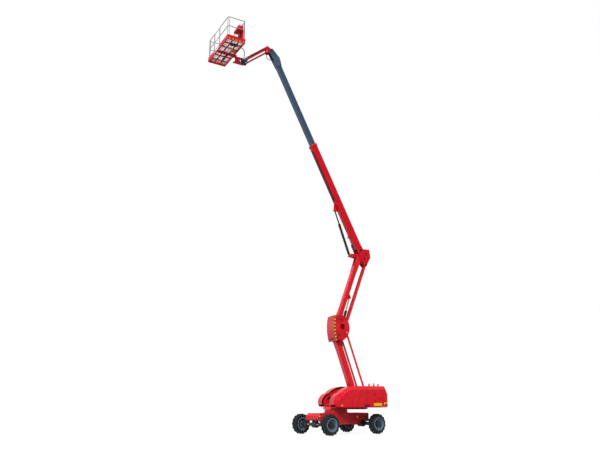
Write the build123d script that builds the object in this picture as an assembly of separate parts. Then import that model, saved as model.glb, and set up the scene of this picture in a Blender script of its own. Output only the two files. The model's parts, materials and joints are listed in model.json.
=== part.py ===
from build123d import *
"""Articulating boom lift, 20 m class, raised, with its telescopic boom run out.

Frame: origin on the ground under the slewing axis, +X the way the boom points in plan,
+Y the machine's left, +Z up. All lengths are in millimetres and all angles in degrees.
Members of the arm are drawn level, with their first pivot at the origin and pointing along +X,
and are then raised to their angle. The chassis and the platform are drawn straight and turned
about their own upright axes.
"""
import math
import os

os.makedirs("parts", exist_ok=True)

# ---------------------------------------------------------------- driving sizes
# stance
CHASSIS_TURN = 18.0        # chassis heading against the boom
WHEELBASE = 2750.0
TRACK = 2140.0
CHASSIS_SHIFT = -164.0     # chassis centre against the slewing axis
TYRE_D = 900.0
TYRE_W = 340.0
RIM_D = 560.0
HUB_D = 250.0
HUB_BORE = 140.0
STUB_R = 60.0
LUGS = 15                  # lugs round each shoulder
LUG_H = 34.0
LUG_LEN = 70.0             # along the tread
LUG_SLANT = 20.0
# chassis
HULL_W = 900.0
HULL_BELLY = 430.0         # underside of the hull between the axles
HULL_LOW = 610.0           # underside over both axles
HULL_TOP = 930.0
HULL_WALL = 12.0
NOSE_LEN = 1560.0          # hull ahead of the chassis centre
TAIL_LEN = 1440.0
AXLE_R = 75.0
KINGPIN_Y = 760.0
KINGPIN_R = 30.0
AXLE_Z = TYRE_D / 2
TIE_R = 22.0               # tie-down eyes
TIE_T = 22.0
TIE_X = (1360.0, -1240.0)
TIE_OUT = 80.0             # how far an eye stands out of the hull
TIE_Y = 493.0
TIE_Z = 800.0
SLEW_R = 520.0
SLEW_TOP = 1085.0
# turntable
BASE_T = 60.0
DECK_Z = 1170.0            # underside of the hoods
UPRIGHT_Y = 222.0          # inner face of the inner uprights
PLATE = 25.0
OUTER_Y = 432.0            # inner face of the outer plates
HOOD_IN = 490.0
HOOD_OUT = 1216.0
HOOD_NOSE = 503.0
HOOD_TAIL = -2067.0
HOOD_TOP = 2110.0
HOOD_WALL = 8.0
HOOD_BAND = 180.0          # slanting band between the hood's top and its side
HOOD_DROP = 170.0
HOOD_TUCK = 25.0
HOOD_LOW = 1198.0          # hoods' lower edge, above the deck plate
DECK_T = 18.0
RIB_Y = 300.0              # ribs ahead of the arm's foot
RIB_NOSE = 400.0
RIB_TOP = 1486.0
RISER_SLOT = 210.0
EYE_X = -1820.0            # lifting eyes on the counterweight
EYE_Y = 252.0
EYE_BORE = 26.0
EYE_T = 24.0
EYE_Z = 2205.0
CRADLE_Y = 245.0           # hollow in the counterweight's top, under the folded elbow
CRADLE_Z = 1930.0
HINGE_X = (-1750.0, -780.0)   # hood hinges
HINGE_AT = (470.0, 2092.0)    # their axis, y and z
HINGE_R = 9.0
# pivots in the boom's plane, x and z
ARM_BASE = (-933.0, 1640.0)
LOWER_LEN = 2955.0
LOWER_UP = 72.0            # lower arm's angle above level
ROD_OFF = (-415.0, 115.0)  # levelling rods' pivots from the arm's
MID_RISE = (-130.0, 710.0)  # upper arm's foot from the lower arm's head
UPPER_LEN = 3260.0
UPPER_UP = 110.0
LINK_OFF = (-370.0, -270.0)
BOOM_OFF = (-95.0, 470.0)  # boom's foot from the upper arm's head
BOOM_UP = 65.8
BOOM_LEN = 5920.0
# sections: width across, depth, wall
LOWER_SEC = (400.0, 250.0, 12.0)
UPPER_SEC = (370.0, 210.0, 10.0)
BOOM_SEC = (360.0, 320.0, 8.0)
FLY_SEC = (280.0, 262.0, 7.0)
PIN_R = 38.0
PIN_GAP = 0.05             # running fit round a pivot pin
SIDE_GAP = 8.0             # between a member and the plates that carry it
SEAT_GAP = 0.3             # between faces that slide or rest on each other


def polar(length, angle):
    """x and z of a point at a distance and an angle above level"""
    return (length * math.cos(math.radians(angle)), length * math.sin(math.radians(angle)))


def plus(a, b):
    return (a[0] + b[0], a[1] + b[1])


MID_LOW = plus(ARM_BASE, polar(LOWER_LEN, LOWER_UP))
MID_HIGH = plus(MID_LOW, MID_RISE)
ELBOW_LOW = plus(MID_HIGH, polar(UPPER_LEN, UPPER_UP))
BOOM_FOOT = plus(ELBOW_LOW, BOOM_OFF)
ROD_FOOT = plus(ARM_BASE, ROD_OFF)
ROD_HEAD = plus(MID_LOW, ROD_OFF)
LINK_FOOT = plus(MID_HIGH, LINK_OFF)
LINK_HEAD = plus(ELBOW_LOW, LINK_OFF)

# jib and platform, x and z in the boom's plane
TIP_PIVOT = (11420.0, -95.0)   # level bracket's pivot, along and above the boom's axis
JIB_UP = -38.0
JIB_LEN = 1380.0
JIB_RISE = (-40.0, 280.0)      # upper jib pivot from the lower
JIB_SEC = (150.0, 130.0, 8.0)
JIB_LOW_SEC = (120.0, 66.0, 8.0)
PLATFORM_TURN = 11.5
PLATFORM_L = 2560.0
PLATFORM_W = 950.0
PLATFORM_H = 1250.0
FLOOR_T = 90.0
SLAT_PITCH = 75.0          # grating in the floor
SLAT_T = 8.0
RAIL_R = 19.0
POST_R = 17.0
RAIL_IN = 25.0             # rail's axis inside the floor's edge
MID_RAIL = 730.0
GATE_Y = -180.0            # gate's middle, in the long side away from the boom
GATE_W = 720.0
GATE_R = 16.0


# ---------------------------------------------------------------- drawing helpers
def across(sketch, y_low, y_high):
    """a sketch drawn in x and z, made solid from y_low to y_high"""
    return extrude(Plane.XZ.offset(-y_high) * sketch, amount=y_high - y_low, dir=(0, -1, 0))


def outline(points, radius=0.0):
    sketch = make_face(Polyline(*points, close=True))
    if radius:
        sketch = fillet(sketch.vertices(), radius)
    return sketch


def pin(at, radius, y_low, y_high):
    return across(Pos(at[0], at[1]) * Circle(radius), y_low, y_high)


def both_sides(shape):
    return shape + mirror(shape, about=Plane.XZ)


def tube_along(length, section, start=0.0, corner=30.0):
    """level box tube along +X, open at both ends"""
    width, depth, wall = section
    outer = RectangleRounded(width, depth, corner)
    inner = RectangleRounded(width - 2 * wall, depth - 2 * wall, corner - wall / 2)
    return extrude(Plane.YZ.offset(start) * (outer - inner), amount=length - start, dir=(1, 0, 0))


def raised(shape, at, angle):
    """a member drawn level, put on its pivot at its angle"""
    return Pos(at[0], 0, at[1]) * Rot(0, -angle, 0) * shape


def save(shape, name):
    export_step(shape, f"parts/{name}.step")


# ---------------------------------------------------------------- hydraulic cylinders
# foot and head are x and z in the rest pose; radii, barrel length, eye radius and half width
EYE_R = 50.0
EYE_HALF = 45.0
NECK = 75.0                # barrel's end from its eye
BARREL_WALL = 10.0
ROD_FIT = 0.4
PISTON = 40.0
GLAND = 50.0


def head_on(member_at, member_up, local):
    """a point drawn on a level member, in the rest pose"""
    return plus(member_at, plus(polar(local[0], member_up), polar(local[1], member_up + 90)))


RISER_LUG = (420.0, -245.0)
TOWER_LUG = (1298.0, 218.0)
BOOM_LUG = (2375.0, -294.0)
LEVEL_LUG = (820.0, -260.0)
RISER_FOOT = plus(ARM_BASE, (1250.0, -330.0))
TOWER_FOOT = plus(MID_HIGH, (-180.0, -400.0))
BOOM_RAM_FOOT = plus(BOOM_FOOT, (480.0, -272.0))
BOOM_RAM_Y = -75.0         # the two cylinders under the boom lie side by side
LEVEL_RAM_Y = 65.0
LEVEL_FOOT = plus(BOOM_FOOT, (200.0, -258.0))
RAMS = {
    # name: foot, head, place across, barrel radius, rod radius, barrel length, rod's inner end from the foot
    "riser": (RISER_FOOT, head_on(ARM_BASE, LOWER_UP, RISER_LUG), 0.0, 65.0, 38.0, 640.0, 430.0),
    "tower": (TOWER_FOOT, head_on(MID_HIGH, UPPER_UP, TOWER_LUG), 0.0, 58.0, 34.0, 930.0, 570.0),
    "boom": (BOOM_RAM_FOOT, head_on(BOOM_FOOT, BOOM_UP, BOOM_LUG), BOOM_RAM_Y, 58.0, 36.0, 1690.0, 930.0),
    "level": (LEVEL_FOOT, head_on(BOOM_FOOT, BOOM_UP, LEVEL_LUG), LEVEL_RAM_Y, 40.0, 22.0, 566.0, 426.0),
}


def ram_barrel(barrel_r, rod_r, barrel_len):
    tube = Circle(barrel_r) - Circle(barrel_r - BARREL_WALL)
    body = extrude(Plane.YZ.offset(NECK) * tube, amount=barrel_len - NECK, dir=(1, 0, 0))
    neck_r = min(barrel_r - 4, EYE_HALF - 5)
    body += extrude(Plane.YZ.offset(EYE_R - 12) * Circle(neck_r), amount=NECK - EYE_R + 14, dir=(1, 0, 0))
    body += extrude(Plane.YZ.offset(NECK - 10) * Circle(barrel_r - 1), amount=12, dir=(1, 0, 0))
    gland = Circle(barrel_r + 6) - Circle(rod_r + ROD_FIT)
    body += extrude(Plane.YZ.offset(barrel_len - GLAND) * gland, amount=GLAND, dir=(1, 0, 0))
    body += pin((0, 0), EYE_R, -EYE_HALF, EYE_HALF)
    return body - pin((0, 0), PIN_R + PIN_GAP, -EYE_HALF, EYE_HALF)


def ram_rod(length, barrel_r, rod_r, inner_end):
    reach = length - EYE_R + 10 - inner_end
    rod = extrude(Plane.YZ.offset(inner_end) * Circle(rod_r), amount=reach, dir=(1, 0, 0))
    piston = Circle(barrel_r - BARREL_WALL - ROD_FIT)
    rod += extrude(Plane.YZ.offset(inner_end) * piston, amount=PISTON, dir=(1, 0, 0))
    return rod + pin((length, 0), EYE_R, -EYE_HALF, EYE_HALF)


def save_rams():
    for name, (foot, head, y, barrel_r, rod_r, barrel_len, inner_end) in RAMS.items():
        length = math.dist(foot, head)
        angle = math.degrees(math.atan2(head[1] - foot[1], head[0] - foot[0]))
        barrel = raised(ram_barrel(barrel_r, rod_r, barrel_len), foot, angle)
        rod = raised(ram_rod(length, barrel_r, rod_r, inner_end), foot, angle)
        save(Pos(0, y, 0) * barrel, f"{name}_cylinder")
        save(Pos(0, y, 0) * rod, f"{name}_cylinder_rod")


def lug_pair(at, root, thick, gap, y=0.0):
    """two plates either side of a cylinder's eye, from their root outline to the pin's circle"""
    plate = across(outline(root) + Pos(at[0], at[1]) * Circle(EYE_R + 4), gap, gap + thick)
    cap = pin(at, PIN_R, gap + thick, gap + thick + PIN_CAP)
    pair = plate + mirror(plate, about=Plane.XZ) + (cap if y > 0 else mirror(cap, about=Plane.XZ))
    if not y:
        pair += cap
    return Pos(0, y, 0) * pair


PIN_CAP = 14.0
LUG_GAP = EYE_HALF + SIDE_GAP
LUG_T = 22.0


# ---------------------------------------------------------------- chassis, drawn straight
def chassis_placed(shape):
    return Rot(0, 0, CHASSIS_TURN) * Pos(CHASSIS_SHIFT, 0, 0) * shape


def chassis_frame():
    half = HULL_W / 2
    side = outline([
        (-TAIL_LEN, HULL_LOW), (-TAIL_LEN, HULL_TOP), (NOSE_LEN - 130, HULL_TOP), (NOSE_LEN, HULL_TOP - 120),
        (NOSE_LEN, HULL_LOW + 50), (NOSE_LEN - 60, HULL_LOW), (850, HULL_LOW), (700, HULL_BELLY),
        (-800, HULL_BELLY), (-950, HULL_LOW),
    ], 25)
    t = HULL_WALL + 2
    core = outline([
        (-TAIL_LEN + t, HULL_LOW + t), (-TAIL_LEN + t, HULL_TOP - t), (NOSE_LEN - 135, HULL_TOP - t),
        (NOSE_LEN - t, HULL_TOP - 125), (NOSE_LEN - t, HULL_LOW + 55), (NOSE_LEN - 66, HULL_LOW + t),
        (844, HULL_LOW + t), (694, HULL_BELLY + t), (-794, HULL_BELLY + t), (-944, HULL_LOW + t),
    ], 15)
    hull = across(side, -half, half) - across(core, -half + HULL_WALL, half - HULL_WALL)
    # slewing ring's seat, under the turntable
    hull += Pos(-CHASSIS_SHIFT, 0, HULL_TOP - 20) * extrude(Circle(SLEW_R + 60), amount=50)
    ring = Circle(SLEW_R) - Circle(SLEW_R - 120)
    hull += Pos(-CHASSIS_SHIFT, 0, HULL_TOP + 25) * extrude(ring, amount=SLEW_TOP - HULL_TOP - 25 - SEAT_GAP)
    # tie-down eyes at the four corners
    eye = Pos(half, TIE_Z) * (RectangleRounded(2 * TIE_OUT, 110, 30) - Pos(TIE_Y - half, 0) * Circle(TIE_R))
    eye &= Pos(half + TIE_OUT / 2 - 1, TIE_Z) * Rectangle(TIE_OUT + 2, 120)
    for x in TIE_X:
        hull += both_sides(extrude(Plane.YZ.offset(x - TIE_T / 2) * eye, amount=TIE_T, dir=(1, 0, 0)))
    return hull


def front_axle():
    x = WHEELBASE / 2
    beam = Pos(x, 0, AXLE_Z) * Box(150, 2 * KINGPIN_Y - 190, 130)
    beam += Pos(x, 0, AXLE_Z) * Rot(90, 0, 0) * Cylinder(145, 260)
    seat = HULL_LOW - AXLE_Z
    beam += Pos(x, 0, AXLE_Z + seat / 2) * Box(130, 300, seat)     # seat up to the hull
    for side in (1, -1):
        y = side * KINGPIN_Y
        block = Pos(x, y - side * 109, AXLE_Z) * Box(120, 42, 200)
        for z in (AXLE_Z + 118, AXLE_Z - 118):
            block += Pos(x, y - side * 35, z) * Box(120, 190, 36)
        block += Pos(x, y, AXLE_Z) * Cylinder(KINGPIN_R, 272)
        beam += block
    return beam


def rear_axle():
    x = -WHEELBASE / 2
    reach = TRACK / 2 - 80
    beam = Pos(x, 0, AXLE_Z) * Box(160, 2 * (reach - 120), 150)
    beam += Pos(x, 0, AXLE_Z) * Rot(90, 0, 0) * Cylinder(150, 300)
    seat = HULL_LOW - AXLE_Z
    beam += Pos(x + 60, 0, AXLE_Z + seat / 2) * Box(240, 520, seat)
    # bracket up each flank of the hull
    flank = outline([(x - 60, HULL_LOW - 60), (x + 105, HULL_LOW - 60), (x + 105, HULL_TOP - 90),
                     (x - 30, HULL_TOP - 60)], 20)
    beam += both_sides(across(flank, HULL_W / 2, HULL_W / 2 + 20))
    beam += Pos(x + 100, 0, HULL_LOW - 45) * Box(180, HULL_W + 30, 30)
    for side in (1, -1):
        beam += Pos(x, side * (reach - 60), AXLE_Z) * Rot(90, 0, 0) * Cylinder(110, 140)
        beam += Pos(x, side * (reach + 60), AXLE_Z) * Rot(90, 0, 0) * Cylinder(STUB_R, 220)
    return beam


def knuckle(side):
    x = WHEELBASE / 2
    y = side * KINGPIN_Y
    stub_end = TRACK / 2 + 90
    body = Pos(x, y, AXLE_Z) * Cylinder(58, 190)
    body += Pos(x, y + side * 70, AXLE_Z) * Rot(90, 0, 0) * Cylinder(90, 90)
    stub = stub_end - KINGPIN_Y
    body += Pos(x, y + side * stub / 2, AXLE_Z) * Rot(90, 0, 0) * Cylinder(STUB_R, stub)
    body += Pos(x - 110, y - side * 10, AXLE_Z) * Box(190, 46, 40)
    return body - Pos(x, y, AXLE_Z) * Cylinder(KINGPIN_R + PIN_GAP, 400)


def tyre():
    """casing in flat facets, one under each lug, and two rows of slanted lugs, axis along Y"""
    facets = 2 * LUGS
    r, w, bead = TYRE_D / 2 - LUG_H, TYRE_W / 2, RIM_D / 2
    # across the tyre: distance from its middle plane, casing radius
    bands = [(-w + 55, bead + 2), (-w + 8, bead + 90), (-w + 56, r), (w - 56, r), (w - 8, bead + 90),
             (w - 55, bead + 2)]
    rings = [Plane.XZ.offset(-y) * RegularPolygon(inner_r, facets, major_radius=False, rotation=180 / facets)
             for y, inner_r in bands]
    casing = loft(rings, ruled=True)
    casing -= Rot(90, 0, 0) * Cylinder(bead, 2 * w)
    # one lug, standing on the casing's top facet, its corners on the tyre's outer diameter
    slant = math.radians(LUG_SLANT)
    shoulder = w - 58
    corner = shoulder * math.sin(slant) + LUG_LEN / 2 * math.cos(slant)
    tip = math.sqrt((TYRE_D / 2) ** 2 - corner ** 2)
    section = make_face(Polyline((14, r - 6), (18, tip), (shoulder, tip), (w - 2, r - 52), (w - 40, r - 66),
                                 close=True))
    lug = Rot(0, 0, LUG_SLANT) * extrude(Plane.YZ * section, amount=LUG_LEN / 2, both=True)
    lugs = []
    for i in range(LUGS):
        lugs.append(Rot(0, 360 * i / LUGS, 0) * lug)
        lugs.append(Rot(0, 360 * (i + 0.5) / LUGS, 0) * Rot(0, 0, 180) * lug)
    return casing.fuse(*lugs)


def rim(side):
    """dished wheel with its hub; side is the way its face points"""
    bead, w = RIM_D / 2, TYRE_W / 2
    profile = make_face(Polyline(
        (STUB_R + PIN_GAP, -60), (HUB_D / 2, -60), (HUB_D / 2, 20), (bead - 70, 20), (bead - 34, -w + 62),
        (bead - 34, -w + 30), (bead + 12, -w + 30), (bead + 12, -w + 32), (bead, -w + 55),
        (bead, w - 55), (bead + 12, w - 32), (bead + 12, w - 30), (bead - 34, w - 30), (bead - 40, w - 44),
        (bead - 60, 36), (HUB_D / 2, 36), (HUB_D / 2, 70), (HUB_D / 2 - 20, w - 50),
        (STUB_R + PIN_GAP, w - 50), close=True))
    wheel = revolve(Plane.XY * profile, axis=Axis.Y)
    return wheel if side > 0 else mirror(wheel, about=Plane.XZ)


def save_wheels():
    for name, x in (("front", WHEELBASE / 2), ("rear", -WHEELBASE / 2)):
        for label, side in (("left", 1), ("right", -1)):
            at = Pos(x, side * TRACK / 2, AXLE_Z)
            save(chassis_placed(at * tyre()), f"tyre_{name}_{label}")
            save(chassis_placed(at * rim(side)), f"rim_{name}_{label}")


# ---------------------------------------------------------------- turntable
def turntable_frame():
    frame = Pos(-420, 0, (SLEW_TOP + DECK_Z) / 2) * Box(1750, 940, DECK_Z - SLEW_TOP)
    deck = make_face(Polyline((-2040, -1195), (250, -1195), (400, -900), (400, 900), (250, 1195), (-2040, 1195),
                              close=True))
    frame += Pos(0, 0, DECK_Z) * extrude(deck, amount=DECK_T)
    top = DECK_Z + DECK_T - 2
    ax, az = ARM_BASE
    inner = outline([(ax - 420, top), (ax + 620, top), (ax + 330, az - 60), (ax + 110, az + 130),
                     (ax - 130, az + 150), (ax - 330, az - 20)], 40)
    outer = outline([(ax - 700, top), (ax + 200, top), (ax - 120, az + 60), (ax - 330, az + 270),
                     (ax - 500, az + 270), (ax - 640, az + 60)], 40)
    frame += both_sides(across(inner, UPRIGHT_Y, UPRIGHT_Y + PLATE))
    frame += both_sides(across(outer, OUTER_Y, OUTER_Y + PLATE))
    # ribs and a sloping cover ahead of the arm, open in the middle for its cylinder
    rib = outline([(ax + 560, top), (RIB_NOSE, top), (RIB_NOSE + 20, top + 80), (RIB_NOSE - 300, RIB_TOP),
                   (ax + 560, RIB_TOP + 40)], 20)
    frame += both_sides(across(rib, RIB_Y, RIB_Y + PLATE))
    cover = outline([(RIB_NOSE + 12, top + 70), (RIB_NOSE + 22, top + 84), (RIB_NOSE - 298, RIB_TOP + 6),
                     (RIB_NOSE - 308, RIB_TOP - 10)])
    frame += both_sides(across(cover, RISER_SLOT / 2, RIB_Y + 5))
    # cross plate behind the arm ties the four uprights together
    frame += Pos(ax - 395, 0, top + 190) * Box(24, 2 * (OUTER_Y + PLATE), 380)
    frame += pin(ARM_BASE, PIN_R + 12, -UPRIGHT_Y - PLATE - 15, UPRIGHT_Y + PLATE + 15)
    rod_pin = pin(ROD_FOOT, PIN_R - 8, UPRIGHT_Y + 90, OUTER_Y + PLATE + 12)
    frame += both_sides(rod_pin)
    # foot of the lower arm's cylinder
    fx, fz = RISER_FOOT
    frame += lug_pair(RISER_FOOT, [(fx - 120, top - 5), (fx + 90, top - 5), (fx + 50, fz), (fx - 50, fz)],
                      LUG_T, LUG_GAP)
    frame += pin(RISER_FOOT, PIN_R, -LUG_GAP, LUG_GAP)
    return frame


def along_x(at, radius, x_low, x_high):
    """cylinder along X, at y and z"""
    return extrude(Plane.YZ.offset(x_low) * Pos(at[0], at[1]) * Circle(radius), amount=x_high - x_low, dir=(1, 0, 0))


def hinge_ears():
    """pin and two ears on the side wall at each hood hinge"""
    y, z = HINGE_AT
    ear_shape = Pos(y, z) * Circle(12) + Pos(y, z - 38) * Rectangle(20, 76)
    parts = []
    for x in HINGE_X:
        parts.append(along_x(HINGE_AT, HINGE_R, x - 44, x + 44))
        for x_low in (x - 44, x + 32):
            parts.append(extrude(Plane.YZ.offset(x_low) * ear_shape, amount=12, dir=(1, 0, 0)))
    ears = parts[0].fuse(*parts[1:])
    return ears + mirror(ears, about=Plane.XZ)


def hood_knuckles():
    """rings on the hood's top edge round the hinge pins"""
    y, z = HINGE_AT
    rings = []
    for x in HINGE_X:
        tab = Pos(x, y + 16, HOOD_TOP - HOOD_WALL / 2) * Box(56, 32, HOOD_WALL)
        ring = along_x(HINGE_AT, HOOD_TOP - z, x - 28, x + 28) + tab
        rings.append(ring - along_x(HINGE_AT, HINGE_R + PIN_GAP, x - 30, x + 30))
    return rings


def engine_block():
    """plain block for the engine under the left hood"""
    return Pos(-950, 880, DECK_Z + DECK_T + 300) * Box(1100, 480, 600)


def side_wall(side):
    """fixed wall beside the arm, inside the hood's edge"""
    wall = hood_profile(70, HOOD_IN - 22, HOOD_IN - 10)
    return wall if side > 0 else mirror(wall, about=Plane.XZ)


def counterweight():
    """ballast across the tail, hollow on top for the folded elbow, with two lifting eyes"""
    top = DECK_Z + DECK_T
    block = outline([(-2050, top), (-1660, top), (-1660, 1600), (-1740, 1990), (-1960, 2050), (-2050, 1900)], 50)
    body = across(block, -HOOD_IN + 30, HOOD_IN - 30)
    body -= Pos(EYE_X, 0, CRADLE_Z + 200) * Box(700, 2 * CRADLE_Y, 400)
    base = EYE_Z - 240
    eye = outline([(EYE_X - 85, base), (EYE_X + 70, base), (EYE_X + 26, EYE_Z), (EYE_X - 26, EYE_Z)])
    eye += Pos(EYE_X, EYE_Z) * Circle(2 * EYE_BORE)
    eye -= Pos(EYE_X, EYE_Z) * Circle(EYE_BORE)
    return body + both_sides(across(eye, EYE_Y, EYE_Y + EYE_T))


def hood_sketch(inset, bottom, tail_inset=0.0):
    """side outline: flat floor, long nose curve, level top, chamfered tail"""
    front, tail, top = HOOD_NOSE - inset, HOOD_TAIL + tail_inset, HOOD_TOP - inset
    edges = Polyline((front - 40, bottom), (tail, bottom), (tail, top - 180), (tail + 90, top), (-560, top))
    crown = ThreePointArc((-560, top), (-180, top - 75), (160, top - 295))
    nose = ThreePointArc((160, top - 295), (front - 80, 1640 - inset / 2), (front, 1460))
    chin = Line((front, 1460), (front, bottom + 120))
    lip = Line((front, bottom + 120), (front - 40, bottom))
    return make_face([*edges.edges(), crown, nose, chin, lip])


def hood_profile(inset, y_low, y_high, bottom=DECK_Z):
    return across(hood_sketch(inset, bottom), y_low, y_high)


def hood(side):
    """hollow cover, open below and towards the arm"""
    shoulder = HOOD_OUT - HOOD_BAND
    wall = HOOD_WALL
    outer = across(hood_sketch(0, HOOD_LOW), HOOD_IN, shoulder)
    outer += loft([Plane.XZ.offset(-shoulder) * hood_sketch(0, HOOD_LOW),
                   Plane.XZ.offset(-HOOD_OUT) * hood_sketch(HOOD_DROP, HOOD_LOW, HOOD_TUCK)], ruled=True)
    inner = across(hood_sketch(wall, DECK_Z, wall), HOOD_IN - 5, shoulder)
    inner += loft([Plane.XZ.offset(-shoulder) * hood_sketch(wall, DECK_Z, wall),
                   Plane.XZ.offset(-HOOD_OUT + wall) * hood_sketch(HOOD_DROP + wall, DECK_Z, HOOD_TUCK + wall)],
                  ruled=True)
    shell = outer - inner
    for ring in hood_knuckles():
        shell += ring
    return shell if side > 0 else mirror(shell, about=Plane.XZ)


# ---------------------------------------------------------------- lower arm and levelling rods
def boss(at, radius, half, bore):
    return pin(at, radius, -half, half) - pin(at, bore, -half, half)


def bored(shape, at, radius=PIN_R + 12 + PIN_GAP):
    return shape - pin(at, radius, -900, 900)


def lower_arm():
    width, depth, _ = LOWER_SEC
    half = width / 2
    arm = tube_along(LOWER_LEN - 190, LOWER_SEC, 150)
    taper = outline([(LOWER_LEN - 620, -depth / 2), (LOWER_LEN - 190, -depth / 2 - 10), (LOWER_LEN, -depth / 2),
                     (LOWER_LEN + 90, -60), (LOWER_LEN + 90, 60), (LOWER_LEN, depth / 2),
                     (LOWER_LEN - 190, depth / 2 + 60), (LOWER_LEN - 620, depth / 2)], 15)
    foot = outline([(-100, -90), (60, -depth / 2), (420, -depth / 2), (420, depth / 2), (60, depth / 2),
                    (-100, 90)], 30)
    for shape in (taper, foot):
        arm += both_sides(across(shape, half - 22, half - 2))
    for x in (0, LOWER_LEN):
        arm += boss((x, 0), 90, half, PIN_R + 12)
        arm = bored(arm, (x, 0))
    lx, lz = RISER_LUG
    arm += lug_pair(RISER_LUG, [(lx - 150, -depth / 2 + 6), (lx + 150, -depth / 2 + 6), (lx + 50, lz),
                                (lx - 50, lz)], LUG_T, LUG_GAP)
    return raised(arm, ARM_BASE, LOWER_UP)


ROD_Y = 390.0
ROD_SIDE = 70.0


def levelling_rods():
    rod = Pos(LOWER_LEN / 2, ROD_Y, 0) * Box(LOWER_LEN - 90, ROD_SIDE, ROD_SIDE)
    for x in (0, LOWER_LEN):
        rod += pin((x, 0), 58, ROD_Y - ROD_SIDE / 2, ROD_Y + ROD_SIDE / 2)
        rod = bored(rod, (x, 0), PIN_R - 8 + PIN_GAP)
    return raised(both_sides(rod), ROD_FOOT, LOWER_UP)


LINK_Y = 98.0              # inner face of each bar
LINK_T = 40.0
LINK_DEPTH = 90.0


# ---------------------------------------------------------------- knuckle between the arms
def mid_pivot():
    x, z = MID_LOW
    front, low, high = x + 230, z - 293, MID_HIGH[1] + 213
    mid = (low + high) / 2
    arc = ThreePointArc((x - 160, low), (x - 560, mid + 60), (x - 230, high))
    cheek = make_face([arc, Line((x - 230, high), (front - 110, high)), Line((front - 110, high),
                      (front - 110, low + 60)), Line((front - 110, low + 60), (x - 160, low))])
    window = Pos(MID_HIGH[0] - 60, MID_HIGH[1] - 325) * Circle(125)
    shell = both_sides(across(cheek - window, OUTER_Y, OUTER_Y + PLATE))
    # curved nose between the cheeks
    nose = make_face([
        ThreePointArc((front - 70, low + 20), (front + 20, mid + 60), (front - 40, high)),
        Line((front - 40, high), (front - 118, high)), Line((front - 118, high), (front - 118, low + 20)),
        Line((front - 118, low + 20), (front - 70, low + 20))])
    nose_in = make_face([
        ThreePointArc((front - 84, low + 32), (front + 6, mid + 60), (front - 54, high - 12)),
        Line((front - 54, high - 12), (front - 300, high - 12)), Line((front - 300, high - 12),
        (front - 300, low + 32)), Line((front - 300, low + 32), (front - 84, low + 32))])
    side_y = OUTER_Y + PLATE
    shell += across(nose, -side_y, side_y) - across(nose_in, -side_y + 14, side_y - 14)
    # inner plates that carry the arms
    inner = outline([(x - 110, low + 60), (front - 60, low + 60), (front - 60, high - 60), (x - 150, high - 40),
                     (x - 340, high - 160), (x - 600, z + 500), (x - 600, z + 330), (x - 330, z + 200)], 40)
    shell += both_sides(across(inner, UPRIGHT_Y, UPRIGHT_Y + PLATE))
    # floor and roof of the knuckle tie inner plates and cheeks
    shell += both_sides(Pos(x + 20, (UPRIGHT_Y + OUTER_Y) / 2 + 12, low + 200) * Box(180, OUTER_Y - UPRIGHT_Y, 16))
    shell += both_sides(Pos(x - 60, (UPRIGHT_Y + OUTER_Y) / 2 + 12, high - 75) * Box(180, OUTER_Y - UPRIGHT_Y, 16))
    for at in (MID_LOW, MID_HIGH):
        shell += pin(at, PIN_R + 12, -side_y - 10, side_y + 10)
    # the link's two bars turn on stub pins, so that the cylinder swings between them
    shell += both_sides(pin(LINK_FOOT, PIN_R, LINK_Y - 4, UPRIGHT_Y + PLATE))
    shell += both_sides(pin(ROD_HEAD, PIN_R - 8, UPRIGHT_Y + 10, side_y + 12))
    # foot of the upper arm's cylinder stands on a cross tube
    shell += pin(TOWER_FOOT, PIN_R, -UPRIGHT_Y - 5, UPRIGHT_Y + 5)
    shell += both_sides(pin(TOWER_FOOT, PIN_R + 20, EYE_HALF + SIDE_GAP, UPRIGHT_Y + 5))
    return shell


# ---------------------------------------------------------------- upper arm and link
def upper_arm():
    width, depth, _ = UPPER_SEC
    half = width / 2
    arm = tube_along(UPPER_LEN - 380, UPPER_SEC, 130)
    foot = outline([(-90, -80), (60, -depth / 2), (420, -depth / 2), (420, depth / 2), (60, depth / 2),
                    (-90, 80)], 30)
    fork = make_face([
        Line((UPPER_LEN - 700, -depth / 2), (UPPER_LEN, -depth / 2 - 30)),
        ThreePointArc((UPPER_LEN, -depth / 2 - 30), (UPPER_LEN + depth / 2 + 30, 0), (UPPER_LEN, depth / 2 + 30)),
        Line((UPPER_LEN, depth / 2 + 30), (UPPER_LEN - 700, depth / 2)),
        Line((UPPER_LEN - 700, depth / 2), (UPPER_LEN - 700, -depth / 2))])
    arm += both_sides(across(foot, half - 22, half - 2))
    arm += both_sides(across(fork, half - 27, half - 1))
    arm += boss((0, 0), 80, half, PIN_R + 12)
    arm = bored(bored(arm, (0, 0)), (UPPER_LEN, 0))
    lx, lz = TOWER_LUG
    arm += lug_pair(TOWER_LUG, [(lx - 190, depth / 2 - 6), (lx + 190, depth / 2 - 6), (lx + 50, lz),
                                (lx - 50, lz)], LUG_T, LUG_GAP)
    return raised(arm, MID_HIGH, UPPER_UP)


def upper_link():
    bar = Pos(UPPER_LEN / 2, LINK_Y + LINK_T / 2, 0) * Box(UPPER_LEN - 60, LINK_T, LINK_DEPTH)
    for x in (0, UPPER_LEN):
        bar += pin((x, 0), 62, LINK_Y, LINK_Y + LINK_T)
    link = both_sides(bar)
    for x in (UPPER_LEN - 160, UPPER_LEN - 900):
        link += Pos(x, 0, 0) * Box(60, 2 * LINK_Y + 10, 50)
    for x in (0, UPPER_LEN):
        link = bored(link, (x, 0), PIN_R + PIN_GAP)
    return raised(link, LINK_FOOT, UPPER_UP)


# ---------------------------------------------------------------- elbow
CHEEK_Y = BOOM_SEC[0] / 2 + 14
WEB_HALF = 150.0
WEB_T = 22.0


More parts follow.
